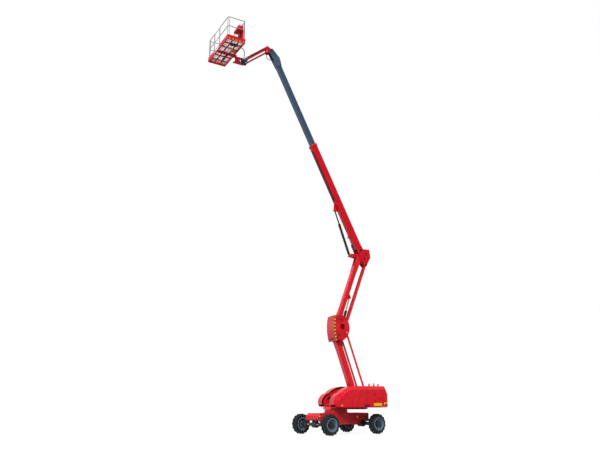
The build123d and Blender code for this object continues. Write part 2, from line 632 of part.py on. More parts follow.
def elbow():
    bx, bz = BOOM_FOOT
    ex, ez = ELBOW_LOW
    cheek = outline([(bx + 60, bz + 60), (bx - 480, bz + 40), (bx - 520, bz - 380), (bx - 290, bz - 790),
                     (bx - 200, bz - 790), (bx + 70, bz - 400)], 40)
    body = both_sides(across(cheek, CHEEK_Y, CHEEK_Y + PLATE))
    # web carrying the upper arm's head, with a nose for the cylinders under the boom
    nx, nz = BOOM_RAM_FOOT
    web = outline([
        (bx - 300, bz - 640), (bx - 180, bz - 676), (ex + 40, ez - 110), (ex + 120, ez - 20), (ex + 110, ez + 80),
        (nx - 90, nz - 72), (nx + 30, nz - 62), (nx + 62, nz), (nx + 20, nz + 62), (bx + 160, bz - 196),
        (bx + 60, bz - 230), (bx - 300, bz - 230)], 18)
    body += both_sides(across(web, WEB_HALF - WEB_T, WEB_HALF))
    body += across(web, -WEB_T, 0)             # rib between the two cylinders
    body += Pos(bx - 170, 0, bz - 252) * Box(300, 2 * CHEEK_Y + 4, 24)
    body += Pos(bx - 310, 0, bz - 420) * Box(24, 2 * CHEEK_Y + 4, 360)
    body += pin(BOOM_FOOT, PIN_R + 12, -CHEEK_Y - PLATE - 12, CHEEK_Y + PLATE + 12)
    body += pin(ELBOW_LOW, PIN_R + 12, -UPPER_SEC[0] / 2 - 2, UPPER_SEC[0] / 2 + 2)
    body += pin(LINK_HEAD, PIN_R, -CHEEK_Y - PLATE - 10, CHEEK_Y + PLATE + 10)
    body += pin(BOOM_RAM_FOOT, PIN_R, -WEB_HALF - 12, 0)
    body += pin(LEVEL_FOOT, PIN_R, 0, WEB_HALF + 12)
    return body


# ---------------------------------------------------------------- telescopic boom
FLY_TAIL = 1450.0      # length of fly boom still inside the base boom
HEAD_START = 10450.0   # where the fly's head plates start, along the boom


def boom_base():
    width, depth, _ = BOOM_SEC
    tube = tube_along(BOOM_LEN, BOOM_SEC, 120, 45)
    foot = outline([(-170, -90), (-60, -depth / 2), (190, -depth / 2), (190, depth / 2), (-60, depth / 2),
                    (-170, 90)], 30)
    tube += both_sides(across(foot, width / 2 - 22, width / 2 - 2))
    tube += boss((0, 0), 95, width / 2, PIN_R + 12)
    tube = bored(tube, (0, 0))
    collar = RectangleRounded(width + 30, depth + 30, 50) - RectangleRounded(width - 20, depth - 20, 40)
    tube += extrude(Plane.YZ.offset(BOOM_LEN - 110) * collar, amount=110, dir=(1, 0, 0))
    # wear pads in the mouth carry the fly
    fly_w, fly_d, _ = FLY_SEC
    pad_y = (width / 2 + fly_w / 2) / 2
    pad_z = (depth / 2 + fly_d / 2) / 2
    for side in (1, -1):
        tube += Pos(BOOM_LEN - 60, side * pad_y, 0) * Box(90, width / 2 - fly_w / 2 - 2 * SEAT_GAP, 140)
        tube += Pos(BOOM_LEN - 60, 0, side * pad_z) * Box(90, 150, depth / 2 - fly_d / 2 - 2 * SEAT_GAP)
    lx, lz = BOOM_LUG
    tube += lug_pair(BOOM_LUG, [(lx - 120, -depth / 2 + 6), (lx + 330, -depth / 2 + 6), (lx + 60, lz),
                                (lx - 52, lz)], LUG_T, LUG_GAP, BOOM_RAM_Y)
    lx, lz = LEVEL_LUG
    tube += lug_pair(LEVEL_LUG, [(lx - 90, -depth / 2 + 6), (lx + 130, -depth / 2 + 6), (lx + 50, lz),
                                 (lx - 50, lz)], LUG_T, LUG_GAP, LEVEL_RAM_Y)
    return raised(tube, BOOM_FOOT, BOOM_UP)


def hose_tube():
    """square duct under the boom that guides the hose track"""
    duct = Rectangle(90, 56) - Rectangle(78, 44)
    start = BOOM_LUG[0] + 420
    body = extrude(Plane.YZ.offset(start) * Pos(70, -BOOM_SEC[1] / 2 - 28 - SEAT_GAP) * duct, amount=BOOM_LEN - 320 - start,
                   dir=(1, 0, 0))
    return raised(body, BOOM_FOOT, BOOM_UP)


def boom_fly():
    width, depth, _ = FLY_SEC
    tube = tube_along(HEAD_START + 380, FLY_SEC, BOOM_LEN - FLY_TAIL, 36)
    # wear pads on the tail slide in the base boom
    base_w, base_d, base_t = BOOM_SEC
    tail = BOOM_LEN - FLY_TAIL + 90
    side_pad = base_w / 2 - base_t - width / 2 - SEAT_GAP
    flat_pad = base_d / 2 - base_t - depth / 2 - SEAT_GAP
    for side in (1, -1):
        tube += Pos(tail, side * (width + side_pad) / 2, 0) * Box(120, side_pad, 120)
        tube += Pos(tail, 0, side * (depth + flat_pad) / 2) * Box(120, 130, flat_pad)
    tx, tz = TIP_PIVOT
    head = outline([(HEAD_START - 10, -depth / 2), (HEAD_START + 710, -depth / 2 - 40), (tx + 60, tz - 75),
                    (tx + 80, tz + 40), (tx + 50, tz + 135), (HEAD_START + 430, depth / 2 + 78),
                    (HEAD_START + 130, depth / 2 + 28), (HEAD_START - 10, depth / 2)], 18)
    tube += both_sides(across(head, width / 2 - 1, width / 2 + 19))
    tube += pin(TIP_PIVOT, PIN_R - 6, -width / 2 - 30, width / 2 + 30)
    tube += Pos(HEAD_START + 330, 0, depth / 2 + 40) * Box(180, width, 14)
    return raised(tube, BOOM_FOOT, BOOM_UP)


# ---------------------------------------------------------------- jib
TIP = head_on(BOOM_FOOT, BOOM_UP, TIP_PIVOT)
JIB_TOP = plus(TIP, (155.0, 185.0))
JIB_BOTTOM = plus(JIB_TOP, (-JIB_RISE[0], -JIB_RISE[1]))
JIB_PIN = 24.0
BRACKET_HALF = 118.0


def jib_bracket():
    """level bracket at the fly's tip that carries both jib arms"""
    tx, tz = TIP
    plate = outline([(tx - 62, tz - 60), (tx + 20, tz - 150), (JIB_BOTTOM[0] + 30, JIB_BOTTOM[1] - 66),
                     (JIB_BOTTOM[0] + 66, JIB_BOTTOM[1]), (JIB_TOP[0] + 62, JIB_TOP[1] + 20),
                     (JIB_TOP[0] - 10, JIB_TOP[1] + 68), (tx - 62, tz + 55)], 22)
    body = both_sides(across(plate, BRACKET_HALF - 20, BRACKET_HALF))
    body += boss(TIP, 58, BRACKET_HALF, PIN_R - 6)
    body = bored(body, TIP, PIN_R - 6 + PIN_GAP)
    for at in (JIB_TOP, JIB_BOTTOM):
        body += pin(at, JIB_PIN, -BRACKET_HALF - 12, BRACKET_HALF + 12)
    return body


def jib_arm(section, start_cut):
    """box tube between two forked ends"""
    width, depth, _ = section
    arm = tube_along(JIB_LEN - start_cut, section, start_cut, 18)
    reach = start_cut + 40
    for x, inward in ((0, 1), (JIB_LEN, -1)):
        blade = Pos(x + inward * reach / 2, 0) * Rectangle(reach, depth - 8)
        blade += Pos(x, 0) * Circle(depth / 2 - 4)
        arm += both_sides(across(blade, width / 2 - 16, width / 2 - 1))
        arm += pin((x, 0), depth / 2 - 2, -width / 2, width / 2)
        arm = bored(arm, (x, 0), JIB_PIN + PIN_GAP)
    return arm


def jib_upper():
    return raised(jib_arm(JIB_SEC, 90), JIB_TOP, JIB_UP)


def jib_lower():
    return raised(jib_arm(JIB_LOW_SEC, 70), JIB_BOTTOM, JIB_UP)


JIB_END_TOP = plus(JIB_TOP, polar(JIB_LEN, JIB_UP))
JIB_END_BOTTOM = plus(JIB_BOTTOM, polar(JIB_LEN, JIB_UP))
ROTATOR_X = JIB_END_BOTTOM[0] + 175
ROTATOR_R = 88.0
YOKE_R = 30.0
PLATFORM_Z = JIB_END_TOP[1] + 30          # underside of the floor
PLATFORM_REACH = 900.0                    # rotator's axis to the platform's centre


def jib_end():
    """level bracket at the jib's outer end, with the platform's turning actuator"""
    x, z = JIB_END_BOTTOM
    tx, tz = JIB_END_TOP
    plate = outline([
        (x - 60, z - 50), (x + 30, z - 62), (ROTATOR_X - 20, z - 62), (ROTATOR_X - 20, z + 200),
        (ROTATOR_X - 125, z + 200), (tx + 56, tz + 40), (tx - 50, tz + 50)], 14)
    body = both_sides(across(plate, 84, 102))
    for at in (JIB_END_TOP, JIB_END_BOTTOM):
        body += pin(at, JIB_PIN, -112, 112)
    body += Pos(ROTATOR_X, 0, z + 70) * Cylinder(ROTATOR_R, 270)
    return body - Pos(ROTATOR_X, 0, z + 70) * Cylinder(YOKE_R + PIN_GAP, 280)


def platform_placed(shape):
    """platform drawn straight about the turning axis, +X ahead, then turned and lifted"""
    return Pos(ROTATOR_X, 0, PLATFORM_Z) * Rot(0, 0, PLATFORM_TURN) * shape


def platform_support():
    """yoke over and under the actuator, and the beams below the floor"""
    low = JIB_END_BOTTOM[1] - 65 - SIDE_GAP - PLATFORM_Z
    high = JIB_END_BOTTOM[1] + 205 + SIDE_GAP - PLATFORM_Z
    reach = PLATFORM_REACH - PLATFORM_W / 2
    body = Pos(reach / 2, 0, low - 12) * Box(reach + 160, 150, 24)
    body += Pos(reach / 2, 0, high + 12) * Box(reach + 160, 150, 24)
    body += Pos(reach - 60, 0, (low + high) / 2) * Box(40, 150, high - low + 4)
    body += Pos(0, 0, (low + high) / 2) * Cylinder(YOKE_R, high - low + 4)
    body += Pos(reach - 30, 0, (high - 40) / 2) * Box(100, 170, -high - 40)
    for y in (-60, 60):
        body += Pos(reach + PLATFORM_W / 2 - 40, y, -29) * Box(PLATFORM_W + 60, 50, 58)
    return body


def platform_floor():
    """perimeter and long beams with cross members under an open floor"""
    cx = PLATFORM_REACH
    frame = Pos(cx, 0, FLOOR_T / 2) * Box(PLATFORM_W, PLATFORM_L, FLOOR_T)
    frame -= Pos(cx, 0, FLOOR_T / 2) * Box(PLATFORM_W - 100, PLATFORM_L - 100, FLOOR_T + 2)
    for x in (cx - 160, cx + 160):
        frame += Pos(x, 0, 30) * Box(50, PLATFORM_L - 60, 60)
    for y in (-860, -430, 0, 430, 860):
        frame += Pos(cx, y, 35) * Box(PLATFORM_W - 60, 40, 50)
    # open grating: slats across, tied by bars along
    count = int((PLATFORM_L - 100) / SLAT_PITCH)
    start = -(count - 1) * SLAT_PITCH / 2
    slats = [Pos(cx, start + i * SLAT_PITCH, FLOOR_T - 12) * Box(PLATFORM_W - 90, SLAT_T, 24) for i in range(count)]
    ties = [Pos(cx + x, 0, FLOOR_T - 14) * Box(10, PLATFORM_L - 90, 20) for x in (-320, -160, 0, 160, 320)]
    frame = frame.fuse(*slats, *ties)
    toe = Pos(cx, 0, FLOOR_T + 70) * Box(PLATFORM_W, PLATFORM_L, 150)
    toe -= Pos(cx, 0, FLOOR_T + 70) * Box(PLATFORM_W - 8, PLATFORM_L - 8, 152)
    toe -= Pos(cx + PLATFORM_W / 2, GATE_Y, FLOOR_T + 80) * Box(60, GATE_W, 160)
    return frame + toe


def rail_run(points, radius=RAIL_R, corner=50.0):
    """round tube through points, bent at the corners"""
    path = FilletPolyline(*points, radius=corner) if len(points) > 2 else Line(*points)
    return sweep(Plane(origin=path @ 0, z_dir=path % 0) * Circle(radius), path=path)


def upright(x, y, low, high, radius):
    return Pos(x, y, (low + high) / 2) * Cylinder(radius, high - low)


def rail_places():
    """x of both long sides, half the run along, gate's two posts and the top rail's height"""
    x0 = PLATFORM_REACH - PLATFORM_W / 2 + RAIL_IN
    x1 = PLATFORM_REACH + PLATFORM_W / 2 - RAIL_IN
    half = PLATFORM_L / 2 - RAIL_IN
    return x0, x1, half, GATE_Y - GATE_W / 2, GATE_Y + GATE_W / 2, PLATFORM_H - RAIL_R


def platform_rails():
    """top and middle rails, each bent round three corners, open at the gate"""
    x0, x1, half, gate_low, gate_high, top = rail_places()
    rails = []
    for z in (top, MID_RAIL):
        rails.append(rail_run([(x1, gate_high - POST_R - 2, z), (x1, half, z), (x0, half, z), (x0, -half, z),
                               (x1, -half, z), (x1, gate_low + POST_R + 2, z)]))
    return rails


def platform_posts():
    """posts between the floor and the rails, with the gate's hinge rings"""
    x0, x1, half, gate_low, gate_high, top = rail_places()
    corner = 60.0
    places = [
        (x0, half - corner), (x0, half / 3), (x0, -half / 3), (x0, -half + corner), (x1, -half + corner),
        (x1, gate_low), (x1, gate_high), (x1, half - corner), (x0 + corner, half), (x1 - corner, half),
        (x0 + corner, -half), (x1 - corner, -half),
    ]
    rails = platform_rails()
    posts = [upright(x, y, FLOOR_T, top, POST_R) - rails[0] - rails[1] for x, y in places]
    y = gate_low + GATE_STEP
    for z in HINGE_Z:
        ring = Pos(x1, (gate_low + y) / 2, z) * Box(14, y - gate_low, 26) + Pos(x1, y, z) * Cylinder(GATE_R + 8, 30)
        ring -= Pos(x1, y, z) * Cylinder(GATE_R + 2 * PIN_GAP, 40)
        posts[5] += ring
    return Compound([solid for post in posts for solid in post.solids()])


GATE_STEP = 46.0           # gate's hinge tube from its post
HINGE_Z = (420.0, 980.0)
GATE_LOW = 200.0


def gate():
    x1 = PLATFORM_REACH + PLATFORM_W / 2 - RAIL_IN
    low, high = GATE_Y - GATE_W / 2 + GATE_STEP, GATE_Y + GATE_W / 2 - GATE_STEP
    top = PLATFORM_H - RAIL_R
    bars = [upright(x1, y, GATE_LOW, top + 8, GATE_R) for y in (low, high)]
    for z in (top - 12, MID_RAIL, GATE_LOW + 20):
        bars.append(rail_run([(x1, low, z), (x1, high, z)], GATE_R - 2))
    return bars[0].fuse(*bars[1:])


def console():
    x0 = PLATFORM_REACH - PLATFORM_W / 2
    y = PLATFORM_L / 2 - 420
    face = x0 + RAIL_IN + RAIL_R
    box = outline([(face + 16, 820), (x0 + 330, 820), (x0 + 360, 880), (x0 + 300, 1010), (face + 16, 1060)], 14)
    body = across(box, y - 260, y + 260)
    return body + Pos(face + 10, y, 920) * Box(20, 240, 600)


# ---------------------------------------------------------------- write every piece
def main():
    save(chassis_placed(chassis_frame()), "chassis_frame")
    save(chassis_placed(front_axle()), "front_axle")
    save(chassis_placed(rear_axle()), "rear_axle")
    for label, side in (("left", 1), ("right", -1)):
        save(chassis_placed(knuckle(side)), f"knuckle_{label}")
    save_wheels()
    save(turntable_frame() + side_wall(1) + side_wall(-1) + hinge_ears(), "turntable_frame")
    save(counterweight(), "counterweight")
    save(engine_block(), "engine_block")
    for label, side in (("left", 1), ("right", -1)):
        save(hood(side), f"hood_{label}")
    save(lower_arm(), "lower_arm")
    save(levelling_rods(), "levelling_rods")
    save(mid_pivot(), "mid_pivot")
    save(upper_arm(), "upper_arm")
    save(upper_link(), "upper_link")
    save(elbow(), "elbow")
    save(boom_base(), "boom_base")
    save(hose_tube(), "hose_tube")
    save(boom_fly(), "boom_fly")
    save_rams()
    save(jib_bracket(), "jib_bracket")
    save(jib_upper(), "jib_upper_arm")
    save(jib_lower(), "jib_lower_arm")
    save(jib_end(), "jib_end")
    save(platform_placed(platform_support()), "platform_support")
    save(platform_placed(platform_floor()), "platform_floor")
    save(platform_placed(Compound(platform_rails())), "platform_rails")
    save(platform_placed(platform_posts()), "platform_posts")
    save(platform_placed(gate()), "gate")
    save(platform_placed(console()), "console")


main()
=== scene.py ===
import bpy, bmesh, json, math
from mathutils import Vector, Matrix


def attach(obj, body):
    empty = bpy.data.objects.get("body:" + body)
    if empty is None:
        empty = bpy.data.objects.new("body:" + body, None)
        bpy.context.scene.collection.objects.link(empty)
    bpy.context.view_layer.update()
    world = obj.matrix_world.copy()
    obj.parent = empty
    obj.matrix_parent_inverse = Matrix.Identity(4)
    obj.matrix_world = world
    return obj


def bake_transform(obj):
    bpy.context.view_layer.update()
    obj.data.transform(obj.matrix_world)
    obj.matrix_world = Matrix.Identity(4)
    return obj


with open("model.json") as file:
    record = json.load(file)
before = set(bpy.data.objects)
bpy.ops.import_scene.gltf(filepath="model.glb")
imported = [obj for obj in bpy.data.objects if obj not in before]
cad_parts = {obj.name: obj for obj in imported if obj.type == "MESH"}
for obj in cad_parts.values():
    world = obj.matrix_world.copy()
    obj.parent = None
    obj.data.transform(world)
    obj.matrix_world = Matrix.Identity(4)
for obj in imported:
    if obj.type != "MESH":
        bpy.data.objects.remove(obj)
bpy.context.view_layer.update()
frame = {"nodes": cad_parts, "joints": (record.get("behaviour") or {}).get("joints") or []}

NODES = frame["nodes"]
JOINTS = {j["name"]: j for j in frame["joints"]}
PIVOT = {n: Vector(j["pos_m"]) for n, j in JOINTS.items() if "pos_m" in j}
scene = bpy.context.scene

# light levels: lamp, sky as it lights the object, and what the floor adds for the camera
SUN = 2.0
SKY = 0.62
FLOOR_GLOW = 0.86

# where the machine stands at rest, in metres and degrees
CHASSIS_TURN = 18.0
CHASSIS_SHIFT = -0.164
PLATFORM_AT = (4.8656, 0, 18.4367)
PLATFORM_TURN = 11.5
ROTATOR_Z = 18.1967


# ------------------------------------------------------------------ materials
def new_material(name):
    m = bpy.data.materials.new(name)
    m.use_nodes = True
    return m, m.node_tree, m.node_tree.nodes["Principled BSDF"]


def feed(nt, socket, value):
    """link an output to a socket, or write a number or colour there"""
    if isinstance(value, bpy.types.NodeSocket):
        nt.links.new(value, socket)
    else:
        socket.default_value = value


def calc(nt, operation, *values):
    """math on outputs and numbers"""
    node = nt.nodes.new("ShaderNodeMath")
    node.operation = operation
    for socket, value in zip(node.inputs, values):
        feed(nt, socket, value)
    return node.outputs[0]


def mixed(nt, weight, first, second):
    """colour between the first and the second"""
    node = nt.nodes.new("ShaderNodeMixRGB")
    for socket, value in (("Fac", weight), ("Color1", first), ("Color2", second)):
        feed(nt, node.inputs[socket], value)
    return node.outputs["Color"]


def object_position(nt):
    return nt.nodes.new("ShaderNodeTexCoord").outputs["Object"]


def split(nt, vector):
    """X, Y and Z of a vector, by name"""
    sep = nt.nodes.new("ShaderNodeSeparateXYZ")
    nt.links.new(vector, sep.inputs[0])
    return sep.outputs


def noise(nt, scale, detail=4.0, rough=0.55):
    tex = nt.nodes.new("ShaderNodeTexNoise")
    tex.inputs["Scale"].default_value = scale
    tex.inputs["Detail"].default_value = detail
    tex.inputs["Roughness"].default_value = rough
    nt.links.new(object_position(nt), tex.inputs["Vector"])
    return tex.outputs["Fac"]


def ramp(nt, source, stops):
    """colours at two places of the source's range"""
    r = nt.nodes.new("ShaderNodeValToRGB")
    for element, (place, colour) in zip(r.color_ramp.elements, stops):
        element.position = place
        element.color = (*colour, 1.0)
    nt.links.new(source, r.inputs["Fac"])
    return r.outputs["Color"]


def bump(nt, shader, source, strength, distance):
    b = nt.nodes.new("ShaderNodeBump")
    b.inputs["Strength"].default_value = strength
    b.inputs["Distance"].default_value = distance
    nt.links.new(source, b.inputs["Height"])
    nt.links.new(b.outputs["Normal"], shader.inputs["Normal"])


def dusty(nt, colour, amount):
    """road dust over a colour, thicker towards the ground"""
    fall = nt.nodes.new("ShaderNodeMapRange")
    fall.inputs["From Min"].default_value = 1.0
    fall.inputs["From Max"].default_value = 0.2
    fall.inputs["To Max"].default_value = amount
    nt.links.new(split(nt, object_position(nt))["Z"], fall.inputs["Value"])
    weight = calc(nt, "MULTIPLY", fall.outputs["Result"], noise(nt, 5.0, 6.0, 0.65))
    return mixed(nt, weight, colour, (0.22, 0.19, 0.16, 1))


def paint(name, colour, rough, coat=0.05, dust=0.0):
    """painted steel: cloudy variation, orange peel, paler worn edges and a little road dust"""
    m, nt, shader = new_material(name)
    cloud = noise(nt, 1.7, 5.0)
    out = ramp(nt, cloud, [(0.3, tuple(0.86 * c for c in colour)), (0.72, colour)])
    pointed = nt.nodes.new("ShaderNodeNewGeometry").outputs["Pointiness"]
    edge = ramp(nt, pointed, [(0.53, (0, 0, 0)), (0.60, (1, 1, 1))])
    speck = ramp(nt, noise(nt, 34.0, 6.0, 0.7), [(0.46, (0, 0, 0)), (0.62, (1, 1, 1))])
    worn = tuple(min(1.0, c * 1.5 + 0.05) for c in colour)
    out = mixed(nt, calc(nt, "MULTIPLY", edge, speck), out, (*worn, 1))
    if dust:
        out = dusty(nt, out, dust)
    nt.links.new(out, shader.inputs["Base Color"])
    gloss = ramp(nt, cloud, [(0.3, (rough + 0.08,) * 3), (0.7, (rough,) * 3)])
    nt.links.new(gloss, shader.inputs["Roughness"])
    shader.inputs["Specular IOR Level"].default_value = 0.12
    shader.inputs["Coat Weight"].default_value = coat
    shader.inputs["Coat Roughness"].default_value = 0.18
    bump(nt, shader, noise(nt, 168.0, 2.0), 0.05, 0.002)
    return m


def plain(name, colour, rough, metallic, variation=0.12, scale=20.0, bump_by=0.08):
    """one material with fine variation of its colour and a slight relief"""
    m, nt, shader = new_material(name)
    grain = noise(nt, scale, 5.0)
    low = tuple(max(0.0, c * (1 - variation)) for c in colour)
    high = tuple(min(1.0, c * (1 + variation)) for c in colour)
    nt.links.new(ramp(nt, grain, [(0.3, low), (0.7, high)]), shader.inputs["Base Color"])
    shader.inputs["Roughness"].default_value = rough
    shader.inputs["Metallic"].default_value = metallic
    shader.inputs["Specular IOR Level"].default_value = 0.3
    bump(nt, shader, grain, bump_by, 0.003)
    return m


def stripes(name, first, second, axes, pitch, slant):
    """hazard stripes slanting across two object axes"""
    m, nt, shader = new_material(name)
    place = split(nt, object_position(nt))
    across = calc(nt, "ADD", place[axes[0]], calc(nt, "MULTIPLY", place[axes[1]], slant))
    band = calc(nt, "GREATER_THAN", calc(nt, "PINGPONG", across, pitch), pitch / 2)
    nt.links.new(mixed(nt, band, (*first, 1), (*second, 1)), shader.inputs["Base Color"])
    shader.inputs["Roughness"].default_value = 0.45
    return m


def grated(name, colour, grate):
    """red platform frame whose open floor between the beams is galvanised"""
    m = paint(name, colour, rough=0.36)
    nt = m.node_tree
    base = nt.nodes["Principled BSDF"].inputs["Base Color"]
    mapping = nt.nodes.new("ShaderNodeMapping")
    mapping.vector_type = "TEXTURE"
    mapping.inputs["Location"].default_value = PLATFORM_AT
    mapping.inputs["Rotation"].default_value = (0, 0, math.radians(PLATFORM_TURN))
    nt.links.new(object_position(nt), mapping.inputs["Vector"])
    place = split(nt, mapping.outputs["Vector"])
    # middle and reach of the open floor along and across, and the height of the bars
    spans = (("X", 0.9, 0.424), ("Y", 0.0, 1.229), ("Z", 0.090, 0.026))
    along, across, high = (calc(nt, "COMPARE", place[axis], middle, reach) for axis, middle, reach in spans)
    mask = calc(nt, "MULTIPLY", calc(nt, "MULTIPLY", along, across), high)
    tone = ramp(nt, noise(nt, 60.0, 3.0), [(0.35, tuple(0.85 * c for c in grate)), (0.65, grate)])
    nt.links.new(mixed(nt, mask, base.links[0].from_socket, tone), base)
    return m


RED = (0.74, 0.004, 0.016)
# every material by the name that pieces and nodes ask for
MAT = {
    "floor_red": grated("platform_paint", RED, (0.72, 0.70, 0.72)),
    "red": paint("red_paint", RED, rough=0.32),
    "red_low": paint("red_paint_low", RED, rough=0.36, dust=0.35),
    "blue": paint("slate_paint", (0.050, 0.088, 0.150), rough=0.38),
    "black": paint("black_paint", (0.012, 0.012, 0.014), rough=0.42, coat=0.15),
    "axle": paint("axle_paint", (0.014, 0.015, 0.017), rough=0.5, coat=0.1, dust=0.3),
    "rail": paint("rail_paint", (0.40, 0.42, 0.46), rough=0.4),
    "rim": paint("rim_paint", (0.12, 0.21, 0.28), rough=0.38, dust=0.25),
    "hub": plain("hub_steel", (0.02, 0.022, 0.026), 0.5, 0.4),
    "tyre": plain("tyre_rubber", (0.012, 0.014, 0.017), 0.78, 0.0, 0.35, 26.0, 0.3),
    "chrome": plain("rod_chrome", (0.50, 0.51, 0.53), 0.28, 1.0, 0.04, 60.0, 0.01),
    "steel": plain("bare_steel", (0.35, 0.36, 0.38), 0.35, 1.0, 0.15, 40.0, 0.05),
    "iron": plain("cast_iron", (0.05, 0.05, 0.055), 0.6, 0.4, 0.3, 12.0, 0.2),
    "rubber": plain("hose_rubber", (0.010, 0.010, 0.011), 0.6, 0.0, 0.3, 60.0, 0.1),
    "plastic": plain("black_plastic", (0.016, 0.016, 0.018), 0.45, 0.0, 0.15, 40.0, 0.05),
    "yellow": plain("yellow_plate", (0.86, 0.55, 0.01), 0.4, 0.0, 0.06, 30.0, 0.02),
    "white": plain("pale_steel", (0.62, 0.63, 0.62), 0.4, 0.3, 0.1, 30.0, 0.05),
    "grey": plain("grey_ring", (0.10, 0.11, 0.12), 0.5, 0.3, 0.2, 30.0, 0.1),
    "orange": plain("orange_lens", (0.85, 0.25, 0.01), 0.2, 0.0, 0.08, 30.0, 0.02),
    "dark_rod": plain("dark_rod", (0.05, 0.055, 0.06), 0.2, 0.9, 0.1, 60.0, 0.01),
    "stripes_up": stripes("hazard_stripes", (0.86, 0.50, 0.01), (0.012, 0.012, 0.014), ("Z", "X"), 0.082, 0.45),
    # painted shade: the red darkened to maroon, for the shade under the platform floor
    "shaded_red": paint("shaded_red_paint", (0.060, 0.006, 0.008), rough=0.5),
    "orange_paint": plain("orange_paint", (0.62, 0.17, 0.02), 0.45, 0.0, 0.1, 20.0, 0.03),
    # real dark of the seams, and painted shade where it fills openings, recesses and louvre gaps
    "dark": plain("seam_dark_and_painted_shade", (0.004, 0.004, 0.005), 0.8, 0.0, 0.2, 30.0, 0.05),
}
# the nodes of each material; the rest are told by their names below
FINISH = {
    "red_low": ("chassis_frame",),
    "axle": ("front_axle", "rear_axle", "knuckle_left", "knuckle_right"),
    "red": ("turntable_frame", "counterweight", "hood_left", "hood_right", "lower_arm", "levelling_rods",
        "mid_pivot", "upper_arm", "upper_link", "elbow", "boom_base", "jib_bracket", "jib_upper_arm",
        "jib_lower_arm", "platform_support", "console"),
    "iron": ("engine_block",),
    "black": ("hose_tube",),
    "blue": ("boom_fly", "jib_end"),
    "floor_red": ("platform_floor",),
    "rail": ("platform_rails", "platform_posts", "gate"),
    "dark_rod": ("boom_cylinder_rod",),
}
KEY_OF = {node: key for key, nodes in FINISH.items() for node in nodes}
for name, obj in NODES.items():
    by_name = "tyre" if name.startswith("tyre") else "rim" if name.startswith("rim") else "black"
    if name.endswith("_rod"):
        by_name = "chrome"
    obj.data.materials.clear()
    obj.data.materials.append(MAT[KEY_OF.get(name, by_name)])

# ------------------------------------------------------------------ camera at the photograph's angle
EYE = Vector((10.8567, 27.7010, 1.4656))
AHEAD = Vector((-0.30057, -0.91383, 0.27309)).normalized()
cam_data = bpy.data.cameras.new("camera")
cam_data.sensor_width = 36.0
cam_data.lens = 37.045
cam = bpy.data.objects.new("camera", cam_data)
scene.collection.objects.link(cam)
cam.location = EYE
cam.rotation_euler = AHEAD.to_track_quat("-Z", "Y").to_euler()
cam_data.clip_end = 300.0
scene.camera = cam

# ------------------------------------------------------------------ mesh helpers
def piece(bm, name, key, body, smooth=False, bevel=0.0):
    """a mesh turned into a named piece with its material, riding on a body"""
    mesh = bpy.data.meshes.new(name)
    bmesh.ops.recalc_face_normals(bm, faces=bm.faces)
    bm.to_mesh(mesh)
    bm.free()
    mesh.materials.append(MAT[key])
    o = bpy.data.objects.new(name, mesh)
    scene.collection.objects.link(o)
    if smooth:
        mesh.shade_smooth()
        mesh.set_sharp_from_angle(angle=math.radians(40))
    if bevel:
        mod = o.modifiers.new("edge", "BEVEL")
        mod.width = bevel
        mod.segments = 2
        mod.limit_method = "ANGLE"
    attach(o, body)


def frame_at(origin, x_dir, z_dir):
    """matrix whose Z is z_dir and whose X is near x_dir"""
    z = Vector(z_dir).normalized()
    y = z.cross(Vector(x_dir)).normalized()
    return Matrix.Translation(Vector(origin)) @ Matrix((y.cross(z), y, z)).transposed().to_4x4()


def add_box(bm, size, matrix):
    """box of that size about the matrix's origin"""
    geo = bmesh.ops.create_cube(bm, size=1.0)
    bmesh.ops.scale(bm, vec=size, verts=geo["verts"])
    bmesh.ops.transform(bm, matrix=matrix, verts=geo["verts"])


def add_disc(bm, radius, height, matrix, segments=24):
    """standing on the matrix's XY plane"""
    geo = bmesh.ops.create_cone(bm, cap_ends=True, segments=segments, radius1=radius, radius2=radius,
                                depth=height)
    bmesh.ops.transform(bm, matrix=matrix @ Matrix.Translation((0, 0, height / 2)), verts=geo["verts"])


def add_bolt(bm, radius, height, matrix):
    """hexagonal head"""
    add_disc(bm, radius, height, matrix, 6)


def add_lathe(bm, profile, matrix, segments=24):
    """turned about the matrix's Z, from pairs of radius and height

    It is a closed ring where the last pair is the first, and else an open surface that starts on the axis.
    """
    rows = []
    for r, h in profile:
        count = segments if r > 1e-6 else 1
        rows.append([bm.verts.new(matrix @ Vector((r * math.cos(2 * math.pi * i / segments),
                                                   r * math.sin(2 * math.pi * i / segments), h)))
                     for i in range(count)])
    if profile[0] == profile[-1] and profile[0][0] > 1e-6:
        bmesh.ops.delete(bm, geom=rows[-1], context="VERTS")
        rows[-1] = rows[0]
    for a, b in zip(rows, rows[1:]):
        for i in range(segments):
            j = (i + 1) % segments
            ring = list(dict.fromkeys([a[i % len(a)], a[j % len(a)], b[j % len(b)], b[i % len(b)]]))
            if len(ring) > 2:
                bm.faces.new(ring)


def add_slab(bm, shape, thick, matrix):
    """flat plate: its outline in the matrix's XY plane, from 0 to thick along Z"""
    low = [bm.verts.new(matrix @ Vector((x, y, 0))) for x, y in shape]
    high = [bm.verts.new(matrix @ Vector((x, y, thick))) for x, y in shape]
    bm.faces.new(low)
    bm.faces.new(high)
    for i in range(len(low)):
        j = (i + 1) % len(low)
        bm.faces.new([low[i], low[j], high[j], high[i]])


